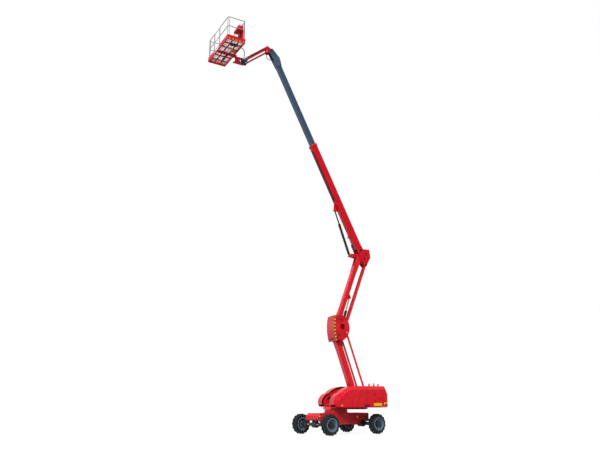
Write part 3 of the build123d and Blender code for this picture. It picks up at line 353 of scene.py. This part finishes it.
def add_tube(bm, points, radius, segments=10):
    """round bar through points"""
    pts = [Vector(p) for p in points]
    rings = []
    side = None
    for i, p in enumerate(pts):
        before = (p - pts[i - 1]).normalized() if i else (pts[1] - p).normalized()
        after = (pts[i + 1] - p).normalized() if i < len(pts) - 1 else before
        along = (before + after).normalized()
        side = along.orthogonal() if side is None else side - side.dot(along) * along
        side.normalize()
        other = along.cross(side)
        wide = 1.0 / max(0.5, along.dot(before))
        out = before.cross(after).normalized().cross(along) if before.cross(after).length > 1e-4 else None
        ring = []
        for k in range(segments):
            a = 2 * math.pi * k / segments
            v = side * math.cos(a) + other * math.sin(a)
            if out:
                v = v + out * v.dot(out) * (wide - 1)
            ring.append(bm.verts.new(p + v * radius))
        rings.append(ring)
    for a, b in zip(rings, rings[1:]):
        for k in range(segments):
            j = (k + 1) % segments
            bm.faces.new([a[k], a[j], b[j], b[k]])
    bm.faces.new(rings[0])
    bm.faces.new(rings[-1])


def arc(a, m, b, count):
    """points on the circle through three points in a plane"""
    (ax, ay), (mx, my), (bx, by) = a, m, b
    d = 2 * (ax * (my - by) + mx * (by - ay) + bx * (ay - my))
    cx = ((ax**2 + ay**2) * (my - by) + (mx**2 + my**2) * (by - ay) + (bx**2 + by**2) * (ay - my)) / d
    cy = ((ax**2 + ay**2) * (bx - mx) + (mx**2 + my**2) * (ax - bx) + (bx**2 + by**2) * (mx - ax)) / d
    r = math.hypot(ax - cx, ay - cy)
    t0, tm, t1 = (math.atan2(y - cy, x - cx) for x, y in (a, m, b))
    sweep_to = (t1 - t0) % (2 * math.pi)
    if (tm - t0) % (2 * math.pi) > sweep_to:
        sweep_to -= 2 * math.pi
    return [(cx + r * math.cos(t0 + sweep_to * k / count), cy + r * math.sin(t0 + sweep_to * k / count))
            for k in range(count + 1)]


def member(foot, angle):
    """a member's own frame: X along it, Y across, Z to its upper side"""
    return Matrix.Translation(foot) @ turned(-angle, "Y")


def facing(side):
    """stands things on a face that points to +Y or -Y"""
    return turned(-90 * side, "X")


def at(x, y, z):
    return Matrix.Translation((x, y, z))


def turned(degrees, axis):
    return Matrix.Rotation(math.radians(degrees), 4, axis)


def around(count, start=0.0):
    """cosine and sine of evenly spread places on a circle"""
    for k in range(count):
        angle = 2 * math.pi * (k + start) / count
        yield math.cos(angle), math.sin(angle)


SIDES = (("left", 1), ("right", -1))
CHASSIS = turned(CHASSIS_TURN, "Z") @ at(CHASSIS_SHIFT, 0, 0)
DECK = at(*PLATFORM_AT) @ turned(PLATFORM_TURN, "Z")
BOOM = member(PIVOT["boom_lift"], 65.8)
JIB = member(PIVOT["jib_lift"], -38.0)

# ------------------------------------------------------------------ caps and keepers on the pins
CHEEK_Y = 0.457
# body, material, y of the pins' ends, then x, z and radius of each cap
CAPS = [
    ("turntable", "black", 0.262, [(-0.933, 1.640, 0.085)]),
    ("mid_pivot", "black", 0.467, [(-0.0199, 4.4504, 0.056), (-0.1499, 5.1604, 0.056)]),
    ("mid_pivot", "black", CHEEK_Y, [(0.085, 5.235, 0.034), (-0.066, 4.225, 0.040), (0.060, 4.26, 0.036),
                                   (-0.380, 4.916, 0.030)]),
    ("mid_pivot", "steel", 0.469, [(-0.4349, 4.5654, 0.042)]),
    ("elbow", "black", 0.231, [(-1.3599, 8.6938, 0.058)]),
    ("elbow", "black", 0.229, [(-1.6349, 7.9538, 0.058)]),
    ("elbow", "black", 0.219, [(-1.632, 8.522, 0.045), (-1.548, 8.266, 0.045)]),
    ("boom_fly", "black", 0.170, [(3.4081, 19.0713, 0.058)]),
    ("jib_bracket", "steel", 0.130, [(3.563, 19.256, 0.040), (3.603, 18.976, 0.040)]),
    ("jib_end", "steel", 0.112, [(4.6506, 18.4067, 0.038), (4.6906, 18.1267, 0.038)]),
]
for n, (body, key, y, caps) in enumerate(CAPS):
    cap, bolt = bmesh.new(), bmesh.new()
    for x, z, r in caps:
        for _, side in SIDES:
            spot = at(x, side * y, z) @ facing(side)
            add_lathe(cap, [(0, 0), (r, 0), (r, 0.008), (r - 0.006, 0.014), (r * 0.45, 0.014), (r * 0.4, 0.010),
                            (0, 0.010)], spot, 28)
            for k in (-1, 1):
                hole = spot @ Matrix.Rotation(0.6, 4, "Z") @ at(k * r * 0.66, 0, 0.009)
                add_disc(bolt, 0.2 * r, 0.012, hole, 6)
    piece(cap, f"pin_caps_{n}_{body}", key, body, bevel=0.002)
    # the folded elbow passes close by the counterweight, with no room for bolt heads
    if body == "elbow":
        bolt.free()
    else:
        piece(bolt, f"cap_bolts_{n}_{body}", "steel", body)

# ------------------------------------------------------------------ knuckle: hazard stripes, window rims, seams
nose = arc((0.134, 4.195), (0.222, 4.825), (0.163, 5.360), 16)
bm = bmesh.new()
for _, side in SIDES:
    shape = nose + [(x - 0.075, z) for x, z in reversed(nose)]
    add_slab(bm, [(x, -side * z) for x, z in shape], 0.002, at(0, side * CHEEK_Y, 0) @ facing(side))
piece(bm, "knuckle_stripes", "stripes_up", "mid_pivot")
bm = bmesh.new()
for _, side in SIDES:
    add_lathe(bm, [(0.125, 0), (0.146, 0), (0.146, 0.008), (0.140, 0.012), (0.129, 0.012), (0.125, 0.008),
                   (0.125, 0)], at(-0.2099, side * CHEEK_Y, 4.8354) @ facing(side), 40)
piece(bm, "window_rims", "red", "mid_pivot", smooth=True)
bm = bmesh.new()
for z, tall, out in ((4.29, 0.07, 0.1655), (4.60, 0.03, 0.2085), (5.08, 0.03, 0.2075)):
    add_box(bm, (0.012, 0.62, tall), at(out, 0, z))
piece(bm, "knuckle_seams", "dark", "mid_pivot", bevel=0.003)

# ------------------------------------------------------------------ hoods
# flat side of the hoods, and the heights and middle of the door drawn on it
SIDE_Y = 1.216
DOOR_X, DOOR_Z = -1.425, 1.57
crown = ([(-2.042, 1.760), (-1.952, 1.940)] + arc((-0.560, 1.940), (-0.180, 1.865), (0.160, 1.645), 12)
         + arc((0.160, 1.645), (0.253, 1.555), (0.333, 1.460), 6)[1:] + [(0.333, 1.318)])
for label, side in SIDES:
    body = f"hood_{label}"

    def flank(x, z, out=0.0):
        return at(x, side * (SIDE_Y + out), z)

    bm = bmesh.new()
    for x, z, wide, tall in ((-1.829, DOOR_Z, 0.008, 0.66), (-1.02, DOOR_Z, 0.006, 0.66),
                             (DOOR_X, 1.902, 0.81, 0.006), (DOOR_X, 1.236, 0.81, 0.006)):
        add_box(bm, (wide, 0.003, tall), flank(x, z, 0.0005))
    piece(bm, f"hood_seams_{label}", "dark", body)
    bm = bmesh.new()
    for z in (1.739, 1.434):
        add_box(bm, (0.060, 0.012, 0.080), flank(DOOR_X, z, 0.006))
        add_box(bm, (0.026, 0.022, 0.050), flank(DOOR_X, z, 0.011))
    piece(bm, f"hood_latches_{label}", "plastic", body, bevel=0.004)
    bm = bmesh.new()
    grip = ((-1.73, -0.002), (-1.725, 0.045), (-1.615, 0.045), (-1.61, -0.002))
    add_tube(bm, [flank(x, 1.60, out).translation for x, out in grip], 0.010)
    piece(bm, f"hood_handle_{label}", "red", body, smooth=True)
    # painted shade: dark slats stand for the shaded gaps of the louvres
    bm = bmesh.new()
    for k in range(4):
        slat = flank(-1.02, 1.225 + 0.024 * k, 0.004) @ Matrix.Rotation(0.5 * side, 4, "X")
        add_box(bm, (0.28, 0.012, 0.012), slat)
    piece(bm, f"hood_louvre_shade_{label}", "dark", body, bevel=0.002)
    bm = bmesh.new()
    add_box(bm, (0.39, 0.003, 0.125), flank(-1.565, 1.305, 0.001))
    add_slab(bm, [(0.137, -side * 1.235), (0.237, -side * 1.235), (0.187, -side * 1.325)], 0.003,
             at(0, side * SIDE_Y, 0) @ facing(side))
    piece(bm, f"hood_plates_{label}", "yellow", body)
    bm = bmesh.new()
    add_box(bm, (0.165, 0.003, 0.095), flank(-1.9505, 1.345, 0.001))
    piece(bm, f"tail_stripes_{label}", "stripes_up", body)
    bm = bmesh.new()
    add_tube(bm, [(x, side * (SIDE_Y - 0.002), z) for x, z in crown], 0.007, 8)
    piece(bm, f"hood_crease_{label}", "red", body, smooth=True)
    bm = bmesh.new()
    for x in (-1.75, -0.78):
        add_box(bm, (0.14, 0.06, 0.006), at(x, side * 0.545, 2.112))
        for dx in (-0.045, 0.045):
            add_bolt(bm, 0.010, 0.008, at(x + dx, side * 0.550, 2.115))
    piece(bm, f"hinge_leaves_{label}", "red", body, bevel=0.001)
    # seal along the hood's inner edge over the nose
    rim = (arc((-0.560, 2.104), (-0.180, 2.029), (0.154, 1.809), 12)
           + arc((0.154, 1.809), (0.417, 1.637), (0.497, 1.460), 8)[1:] + [(0.497, 1.322)])
    bm = bmesh.new()
    add_tube(bm, [(x, side * 0.487, z) for x, z in rim], 0.011, 8)
    piece(bm, f"hood_seal_{label}", "rubber", body, smooth=True)

# ------------------------------------------------------------------ turntable
WALL_Y = 0.468
COVER = at(0.257, 0, 1.3785) @ Matrix.Rotation(math.atan2(0.230, 0.310), 4, "Y")
# painted shade: dark sheets stand for the shade inside the cover's openings
bm = bmesh.new()
for _, side in SIDES:
    add_box(bm, (0.20, 0.11, 0.006), COVER @ at(-0.02, side * 0.205, 0.006))
piece(bm, "cover_opening_shade", "dark", "turntable", bevel=0.002)
bm = bmesh.new()
for _, side in SIDES:
    for x in (-0.14, 0.12):
        for y in (0.13, 0.28):
            add_bolt(bm, 0.012, 0.010, COVER @ at(x, side * y, 0.004))
for c, s in around(20):
    add_bolt(bm, 0.016, 0.014, at(0.545 * c, 0.545 * s, 1.187))
piece(bm, "turntable_bolts", "steel", "turntable")
# painted shade: dark sheets, a slot and a hole stand for the shade in the openings of the walls beside the arm
bm = bmesh.new()
for _, side in SIDES:
    opening = [(0.286, 1.478), (0.262, 1.560), (0.200, 1.630), (0.108, 1.668), (-0.060, 1.672), (0.043, 1.591),
               (0.150, 1.523)]
    add_slab(bm, [(x, side * z) for x, z in opening], 0.004, at(0, side * WALL_Y, 0) @ facing(-side))
    add_box(bm, (0.10, 0.005, 0.030), at(0.05, side * (WALL_Y - 0.002), 1.262))
    add_disc(bm, 0.028, 0.005, at(0.212, side * WALL_Y, 1.388) @ facing(-side), 20)
piece(bm, "wall_opening_shade", "dark", "turntable")
# valve boxes and their pipes between the hood and the arm
bm = bmesh.new()
for _, side in SIDES:
    add_box(bm, (0.30, 0.10, 0.20), at(-0.06, side * 0.395, 1.288))
piece(bm, "valve_boxes", "plastic", "turntable", bevel=0.012)
bm = bmesh.new()
for _, side in SIDES:
    for y, up in ((0.36, 0.0), (0.39, 0.02), (0.42, 0.0)):
        add_tube(bm, [(-0.02, side * y, 1.38), (-0.06, side * y, 1.46 + up), (-0.14, side * y, 1.48 + up),
                      (-0.24, side * y, 1.44 + up), (-0.32, side * y, 1.34), (-0.35, side * y, 1.19)], 0.012, 8)
piece(bm, "valve_pipes", "rubber", "turntable", smooth=True)
# warning lamp on its slanting stalk
LAMP_X, LAMP_Y = -2.018, 0.33
bm = bmesh.new()
add_disc(bm, 0.045, 0.012, at(-1.965, LAMP_Y, 2.022), 20)
add_tube(bm, [(-1.965, LAMP_Y, 2.02), (-1.985, LAMP_Y, 2.09), (LAMP_X, LAMP_Y, 2.175)], 0.020, 12)
add_lathe(bm, [(0, 0), (0.050, 0), (0.050, 0.022), (0.042, 0.028), (0, 0.028)], at(LAMP_X, LAMP_Y, 2.160), 24)
piece(bm, "lamp_stalk", "plastic", "turntable", bevel=0.002)
bm = bmesh.new()
add_lathe(bm, [(0, 0), (0.042, 0), (0.044, 0.015), (0.040, 0.032), (0.026, 0.042), (0, 0.045)],
          at(LAMP_X, LAMP_Y, 2.187), 28)
piece(bm, "lamp_lens", "orange", "turntable", smooth=True)
# plain boxes under the tail, one each side
bm = bmesh.new()
for _, side in SIDES:
    add_box(bm, (0.44, 0.34, 0.060), at(-0.86, side * 0.98, 1.138))
piece(bm, "belly_boxes", "plastic", "turntable", bevel=0.008)
bm = bmesh.new()
TEETH = 90
for k in range(TEETH):
    add_box(bm, (0.016, 0.018, 0.05), turned(360 * k / TEETH, "Z") @ at(0.524, 0, 1.02))
piece(bm, "ring_teeth", "grey", "chassis")

# ------------------------------------------------------------------ chassis
HULL_Y = 0.45
plates, bolts, covers, shade_boxes, reflectors = (bmesh.new() for _ in range(5))
for _, side in SIDES:
    for x, z in ((1.47, 0.73), (1.47, 0.66), (0.55, 0.86), (0.0, 0.86), (0.55, 0.48), (0.0, 0.48),
                 (-0.62, 0.48)):
        add_bolt(bolts, 0.014, 0.010, CHASSIS @ at(x, side * HULL_Y, z) @ facing(side))
    add_box(plates, (0.13, 0.003, 0.085), CHASSIS @ at(-0.747, side * (HULL_Y + 0.0015), 0.753))
    # painted shade: the small dark boxes stand for the shade in the hull's recesses
    for box, size, x, z in ((covers, (0.46, 0.006, 0.26), 0.28, 0.67),
                            (covers, (0.30, 0.006, 0.26), -0.28, 0.67),
                            (shade_boxes, (0.10, 0.008, 0.045), -0.90, 0.75)):
        add_box(box, size, CHASSIS @ at(x, side * (HULL_Y + 0.002), z))
    add_disc(reflectors, 0.040, 0.010, CHASSIS @ at(1.475, side * HULL_Y, 0.80) @ facing(side), 24)
piece(bolts, "chassis_bolts", "steel", "chassis")
piece(plates, "chassis_plates", "yellow", "chassis")
piece(covers, "chassis_covers", "red_low", "chassis", bevel=0.002)
piece(shade_boxes, "chassis_recess_shade", "dark", "chassis", bevel=0.002)
piece(reflectors, "chassis_reflectors", "white", "chassis", bevel=0.003)
# steering cylinder ahead of the front axle, on two brackets, and the rod that passes through it
AXLE_Z = 0.45
bm = bmesh.new()
add_tube(bm, [CHASSIS @ Vector((1.50, y, AXLE_Z)) for y in (-0.24, 0.24)], 0.042, 18)
for y in (-0.20, 0.20):
    add_box(bm, (0.10, 0.03, 0.09), CHASSIS @ at(1.465, y, AXLE_Z))
piece(bm, "steering_cylinder", "axle", "chassis", bevel=0.002)
bm = bmesh.new()
add_tube(bm, [CHASSIS @ Vector((1.50, y, AXLE_Z)) for y in (-0.40, 0.40)], 0.018, 12)
piece(bm, "steering_rod", "chrome", "chassis", smooth=True)

# ------------------------------------------------------------------ wheels: nuts, hub covers, rim rings
WHEEL_Y = 1.07
for end, x in (("front", 1.375), ("rear", -1.375)):
    for label, side in SIDES:
        body = f"wheel_{end}_{label}"
        hub = CHASSIS @ at(x, side * WHEEL_Y, AXLE_Z) @ facing(side)
        nuts, cover = bmesh.new(), bmesh.new()
        for c, s in around(10, 0.5):
            spot = hub @ at(0.168 * c, 0.168 * s, 0.034)
            add_bolt(nuts, 0.016, 0.020, spot)
            add_disc(nuts, 0.009, 0.034, spot, 10)
        piece(nuts, f"wheel_nuts_{end}_{label}", "steel", body)
        add_lathe(cover, [(0, 0.146), (0.040, 0.146), (0.050, 0.138), (0.085, 0.134), (0.106, 0.128),
                          (0.129, 0.118), (0.131, 0.062), (0.148, 0.052), (0.149, 0.034), (0, 0.034)], hub, 36)
        for c, s in around(8):
            add_bolt(cover, 0.008, 0.010, hub @ at(0.070 * c, 0.070 * s, 0.133))
        piece(cover, f"hub_cover_{end}_{label}", "hub", body, bevel=0.001)
        # raised ring where the disc is welded in, and the bead's lip
        bm = bmesh.new()
        add_lathe(bm, [(0.212, 0.034), (0.228, 0.034), (0.232, 0.046), (0.216, 0.044), (0.212, 0.034)], hub, 40)
        add_lathe(bm, [(0.288, 0.138), (0.295, 0.138), (0.297, 0.143), (0.293, 0.147), (0.287, 0.145),
                       (0.288, 0.138)], hub, 48)
        piece(bm, f"rim_rings_{end}_{label}", "rim", body, smooth=True)

# ------------------------------------------------------------------ cylinders: bands, ports and pipes
# radius and length of each barrel
RAM_SIZE = {"riser": (0.065, 0.640), "tower": (0.058, 0.930), "boom": (0.058, 1.690), "level": (0.040, 0.566)}
for name, (radius, length) in RAM_SIZE.items():
    foot = PIVOT[f"{name}_cylinder_turn"]
    axis = Vector(JOINTS[f"{name}_cylinder_slide"]["axis"]).normalized()
    if axis.z < 0:
        axis = -axis
    spot = frame_at(foot, (0, 1, 0), axis)
    body = f"{name}_cylinder"
    out = axis.cross(Vector((0, 1, 0))).normalized()
    if out.x < 0:
        out = -out
    ports = bmesh.new()
    inner, outer = radius - 0.002, radius + 0.005
    for h in (0.105, length - 0.085):
        add_lathe(ports, [(inner, 0), (outer, 0), (outer, 0.014), (inner, 0.014), (inner, 0)],
                  spot @ at(0, 0, h), 28)
    port_at = (0.140, length - 0.115)
    for h in port_at:
        port = frame_at(foot + axis * h + out * (radius - 0.004), axis, out)
        add_disc(ports, 0.018, 0.020, port, 12)
        add_bolt(ports, 0.013, 0.032, port)
    piece(ports, f"{name}_ports", "black", body, bevel=0.001)
    pipe = bmesh.new()
    lift = out * (radius + 0.020)
    add_tube(pipe, [foot + axis * h + lift for h in port_at], 0.007, 8)
    piece(pipe, f"{name}_pipe", "steel", body, smooth=True)

# ------------------------------------------------------------------ boom
bm = bmesh.new()
for _, side in SIDES:
    for up in (0.10, -0.10):
        for along in (5.835, 5.895):
            add_bolt(bm, 0.014, 0.010, BOOM @ at(along, side * 0.195, up) @ facing(side))
    for y in (0.06, -0.06):
        add_bolt(bm, 0.014, 0.010, BOOM @ at(5.865, y, side * 0.175) @ turned(0 if side > 0 else 180, "X"))
piece(bm, "mouth_bolts", "steel", "boom_base")
bm = bmesh.new()
for along in (2.90, 3.55, 4.20, 4.85, 5.50):
    add_box(bm, (0.05, 0.116, 0.008), BOOM @ at(along, 0.07, -0.2202))
    for y in (0.0165, 0.1235):
        add_box(bm, (0.05, 0.009, 0.062), BOOM @ at(along, y, -0.190))
piece(bm, "duct_clamps", "black", "boom_base", bevel=0.002)
bm = bmesh.new()
for along, size in ((0.45, (0.10, 0.006, 0.16)), (1.55, (0.05, 0.006, 0.24)), (3.80, (0.05, 0.006, 0.24))):
    for _, side in SIDES:
        add_box(bm, size, BOOM @ at(along, side * 0.182, 0))
piece(bm, "boom_straps", "red", "boom_base", bevel=0.002)
bm = bmesh.new()
for _, side in SIDES:
    for along in (10.60, 10.86, 11.12):
        add_bolt(bm, 0.014, 0.010, BOOM @ at(along, side * 0.159, 0.02) @ facing(side))
piece(bm, "head_bolts", "steel", "boom_fly")

# ------------------------------------------------------------------ jib
bm = bmesh.new()
add_box(bm, (0.075, 0.165, 0.120), JIB @ at(1.02, 0, 0.006))
piece(bm, "jib_clamp", "plastic", "jib_upper_arm", bevel=0.006)
bm = bmesh.new()
for _, side in SIDES:
    for along in (0.20, 1.22):
        add_box(bm, (0.14, 0.006, 0.09), JIB @ at(along, side * 0.077, 0))
piece(bm, "jib_doublers", "red", "jib_upper_arm", bevel=0.002)
# hydraulic pipes along the jib's near side
bm = bmesh.new()
for up in (-0.020, 0.012):
    add_tube(bm, [JIB @ Vector((along, 0.083, up)) for along in (0.16, 1.08)], 0.007, 8)
piece(bm, "jib_pipes", "black", "jib_upper_arm", smooth=True)

# ------------------------------------------------------------------ platform
# the floor's edges, the rails' middles and the console's place, in the platform's own frame
FLOOR_X = 0.425
FLOOR_Y = 1.280
RAIL_X = (0.450, 1.350)
CONSOLE_Y = 0.86


def deck(x, y, z):
    return DECK @ at(x, y, z)


bm = bmesh.new()
for _, side in SIDES:
    for k in range(5):
        add_box(bm, (0.092, 0.003, 0.045), deck(FLOOR_X + 0.11 + 0.182 * k, side * (FLOOR_Y + 0.001), 0.032))
piece(bm, "toe_dashes", "yellow", "platform")
# console: dark panels, switches, levers, guard bars and the plates that carry it
PANEL = deck(0.605, CONSOLE_Y, 1.0375) @ Matrix.Rotation(math.atan2(0.05, 0.24), 4, "Y")
bm = bmesh.new()
add_box(bm, (0.215, 0.46, 0.006), PANEL)
add_box(bm, (0.006, 0.44, 0.085), deck(0.757, CONSOLE_Y, 0.948) @ turned(-24.8, "Y"))
piece(bm, "console_panel", "plastic", "platform", bevel=0.002)
bm = bmesh.new()
for y, radius in ((-0.17, 0.0125), (-0.09, 0.0125), (0.0, 0.015), (0.10, 0.0125), (0.18, 0.0125)):
    add_disc(bm, radius, 0.010, PANEL @ at(0.075, y, 0.003), 16)
    add_disc(bm, 0.008, 0.018, PANEL @ at(0.035, y, 0.003), 12)
piece(bm, "console_switches", "steel", "platform")
levers, knobs = bmesh.new(), bmesh.new()
for y in (-0.15, 0.13):
    foot = PANEL @ at(-0.02, y, 0.003)
    add_lathe(knobs, [(0, 0.0), (0.032, 0.0), (0.030, 0.012), (0.014, 0.030), (0, 0.032)], foot, 20)
    add_disc(levers, 0.007, 0.08, foot @ at(0, 0, 0.02), 10)
    add_lathe(knobs, [(0, 0.085), (0.014, 0.088), (0.019, 0.105), (0.019, 0.135), (0.013, 0.150), (0, 0.154)],
              foot, 20)
piece(levers, "console_levers", "chrome", "platform")
piece(knobs, "console_knobs", "plastic", "platform", smooth=True)
bm = bmesh.new()
bend = arc((0.49, 1.055), (0.56, 1.135), (0.67, 1.125), 8)
for y in (0.80, 0.94):
    add_tube(bm, [DECK @ Vector((x, y, z)) for x, z in bend], 0.018, 10)
add_tube(bm, [DECK @ Vector((0.67, y, 1.125)) for y in (0.784, 0.956)], 0.018, 10)
add_box(bm, (0.05, 0.14, 0.62), deck(0.475, 1.17, 0.49))
add_box(bm, (0.012, 0.40, 0.46), deck(0.482, CONSOLE_Y, 0.60))
piece(bm, "console_stand", "red", "platform", bevel=0.004)
# box below the console; box, tray, yoke webs and cylinder under the floor
bm = bmesh.new()
add_box(bm, (0.13, 0.16, 0.13), deck(0.555, 0.84, 0.55))
piece(bm, "console_underbox", "plastic", "platform", bevel=0.010)
bm = bmesh.new()
add_box(bm, (0.22, 0.18, 0.12), deck(0.69, 0.46, -0.060))
piece(bm, "underfloor_box", "orange_paint", "platform", bevel=0.010)
# painted shade: the tray under the floor takes the darkened red
bm = bmesh.new()
add_box(bm, (0.36, 0.20, 0.06), deck(0.87, 0.915, -0.030))
piece(bm, "underfloor_tray", "shaded_red", "platform", bevel=0.008)
bm = bmesh.new()
for _, side in SIDES:
    web = [(0.116, 0.383), (0.344, 0.383), (0.344, 0.097), (0.190, 0.097)]
    add_slab(bm, [(x, side * y) for x, y in web], 0.008, deck(0, side * 0.062, 0) @ facing(side))
piece(bm, "yoke_webs", "red", "platform", bevel=0.002)
bm = bmesh.new()
add_tube(bm, [DECK @ Vector(p) for p in ((0.843, -0.10, -0.052), (0.843, -0.60, -0.052))], 0.042, 16)
piece(bm, "underfloor_cylinder", "black", "platform", smooth=True)
bm = bmesh.new()
POST_Y = (1.195, 0.418)
for x, y in ((RAIL_X[0], POST_Y[0]), (RAIL_X[0], POST_Y[1]), (RAIL_X[0], -POST_Y[1]), (RAIL_X[0], -POST_Y[0]),
             (RAIL_X[1], -POST_Y[0]), (RAIL_X[1], POST_Y[0])):
    add_lathe(bm, [(0.016, 0), (0.034, 0), (0.034, 0.010), (0.022, 0.030), (0.016, 0.030), (0.016, 0)],
              deck(x, y, 0.090), 20)
piece(bm, "post_feet", "rail", "platform", smooth=True)
bm = bmesh.new()
for z in (1.231, 0.730):
    for y in (POST_Y[1], -POST_Y[1]):
        add_lathe(bm, [(0.019, 0), (0.0225, 0), (0.0225, 0.05), (0.019, 0.05), (0.019, 0)],
                  deck(RAIL_X[0], y - 0.025, z) @ facing(1), 16)
piece(bm, "rail_collars", "rail", "platform", smooth=True)
bm = bmesh.new()
add_box(bm, (0.030, 0.05, 0.07), deck(RAIL_X[1], 0.115, 1.10))
add_tube(bm, [DECK @ Vector(p) for p in ((RAIL_X[1], 0.10, 1.13), (1.335, 0.04, 1.16), (1.335, -0.02, 1.16))],
         0.008, 8)
piece(bm, "gate_latch", "steel", "gate", bevel=0.003)
# rotator: flanges and motor
bm = bmesh.new()
ROTATOR = at(PLATFORM_AT[0], 0, ROTATOR_Z)
for h in (-0.134, 0.120):
    add_lathe(bm, [(0.086, 0), (0.096, 0), (0.096, 0.014), (0.086, 0.014), (0.086, 0)],
              ROTATOR @ at(0, 0, h), 32)
add_lathe(bm, [(0, 0), (0.038, 0), (0.038, 0.07), (0.030, 0.08), (0, 0.08)],
          ROTATOR @ at(-0.02, 0.085, -0.06) @ facing(1), 20)
piece(bm, "rotator_rings", "black", "jib_end", bevel=0.002)


# ------------------------------------------------------------------ hoses, each a smooth line across one joint
def hose(name, route, radius):
    """hose along the spline of its route"""
    data = bpy.data.curves.new(name + "_line", "CURVE")
    data.dimensions = "3D"
    data.resolution_u = 8
    line = data.splines.new("NURBS")
    line.points.add(len(route) - 1)
    for p, co in zip(line.points, route):
        p.co = (*co, 1)
    line.order_u = 3
    line.use_endpoint_u = True
    guide = bpy.data.objects.new(name + "_line", data)
    scene.collection.objects.link(guide)
    bpy.context.view_layer.update()
    points = [v.co.copy() for v in bpy.data.meshes.new_from_object(guide).vertices]
    bpy.data.objects.remove(guide)
    bm = bmesh.new()
    add_tube(bm, points, radius, 10)
    mesh = bpy.data.meshes.new(name)
    bmesh.ops.recalc_face_normals(bm, faces=bm.faces)
    bm.to_mesh(mesh)
    bm.free()
    mesh.shade_smooth()
    mesh.materials.append(MAT["rubber"])
    o = bpy.data.objects.new(name, mesh)
    scene.collection.objects.link(o)
    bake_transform(o)


hose("tip_hose", [
    (3.605, 0.080, 18.960), (3.622, 0.080, 18.860), (3.632, 0.085, 18.720), (3.600, 0.092, 18.580),
    (3.500, 0.100, 18.510), (3.390, 0.108, 18.515), (3.310, 0.115, 18.550), (3.240, 0.122, 18.585)],
    0.016)
hose("platform_hose", [
    (4.770, 0.015, 18.335), (4.785, 0.040, 18.440), (4.780, 0.050, 18.580), (4.775, 0.055, 18.740),
    (4.830, 0.065, 18.880), (4.930, 0.085, 18.940), (5.060, 0.115, 18.900), (5.160, 0.150, 18.770),
    (5.215, 0.185, 18.610), (5.262, 0.207, 18.480)],
    0.020)


# ------------------------------------------------------------------ floor, sky and lights
def seen_directly(nt):
    """1 for what the camera sees, also in a reflection or through glass, and 0 for what lights the object"""
    path = nt.nodes.new("ShaderNodeLightPath")
    seen = calc(nt, "MAXIMUM", path.outputs["Is Camera Ray"], path.outputs["Is Glossy Ray"])
    return calc(nt, "MAXIMUM", seen, path.outputs["Is Transmission Ray"])


def between(nt, low, high):
    """low where it lights the object, high where it is seen"""
    pick = nt.nodes.new("ShaderNodeMapRange")
    pick.inputs["To Min"].default_value = low
    pick.inputs["To Max"].default_value = high
    nt.links.new(seen_directly(nt), pick.inputs["Value"])
    return pick.outputs["Result"]


REACH = 120.0
floor_mesh = bpy.data.meshes.new("floor")
corners = [(-REACH, -REACH, 0), (REACH, -REACH, 0), (REACH, REACH, 0), (-REACH, REACH, 0)]
floor_mesh.from_pydata(corners, [], [(0, 1, 2, 3)])
floor = bpy.data.objects.new("floor", floor_mesh)
scene.collection.objects.link(floor)
floor_mat, nt, shader = new_material("floor")
shader.inputs["Base Color"].default_value = (0.16, 0.16, 0.16, 1)
shader.inputs["Roughness"].default_value = 0.9
shader.inputs["Emission Color"].default_value = (1, 1, 1, 1)
nt.links.new(between(nt, 0.0, FLOOR_GLOW), shader.inputs["Emission Strength"])
floor_mesh.materials.append(floor_mat)

world = bpy.data.worlds.new("studio")
scene.world = world
world.use_nodes = True
bg = world.node_tree.nodes["Background"]
bg.inputs["Color"].default_value = (1, 1, 1, 1)
world.node_tree.links.new(between(world.node_tree, SKY, 1.0), bg.inputs["Strength"])
scene.view_settings.view_transform = "Standard"


def lamp(name, power, angle, where, towards):
    data = bpy.data.lights.new(name, "SUN")
    data.energy = power
    data.angle = math.radians(angle)
    o = bpy.data.objects.new(name, data)
    scene.collection.objects.link(o)
    o.location = where
    o.rotation_euler = (Vector(towards) - Vector(where)).to_track_quat("-Z", "Y").to_euler()


lamp("sun", SUN, 20, (20, 22, 26), (0, 0, 6))
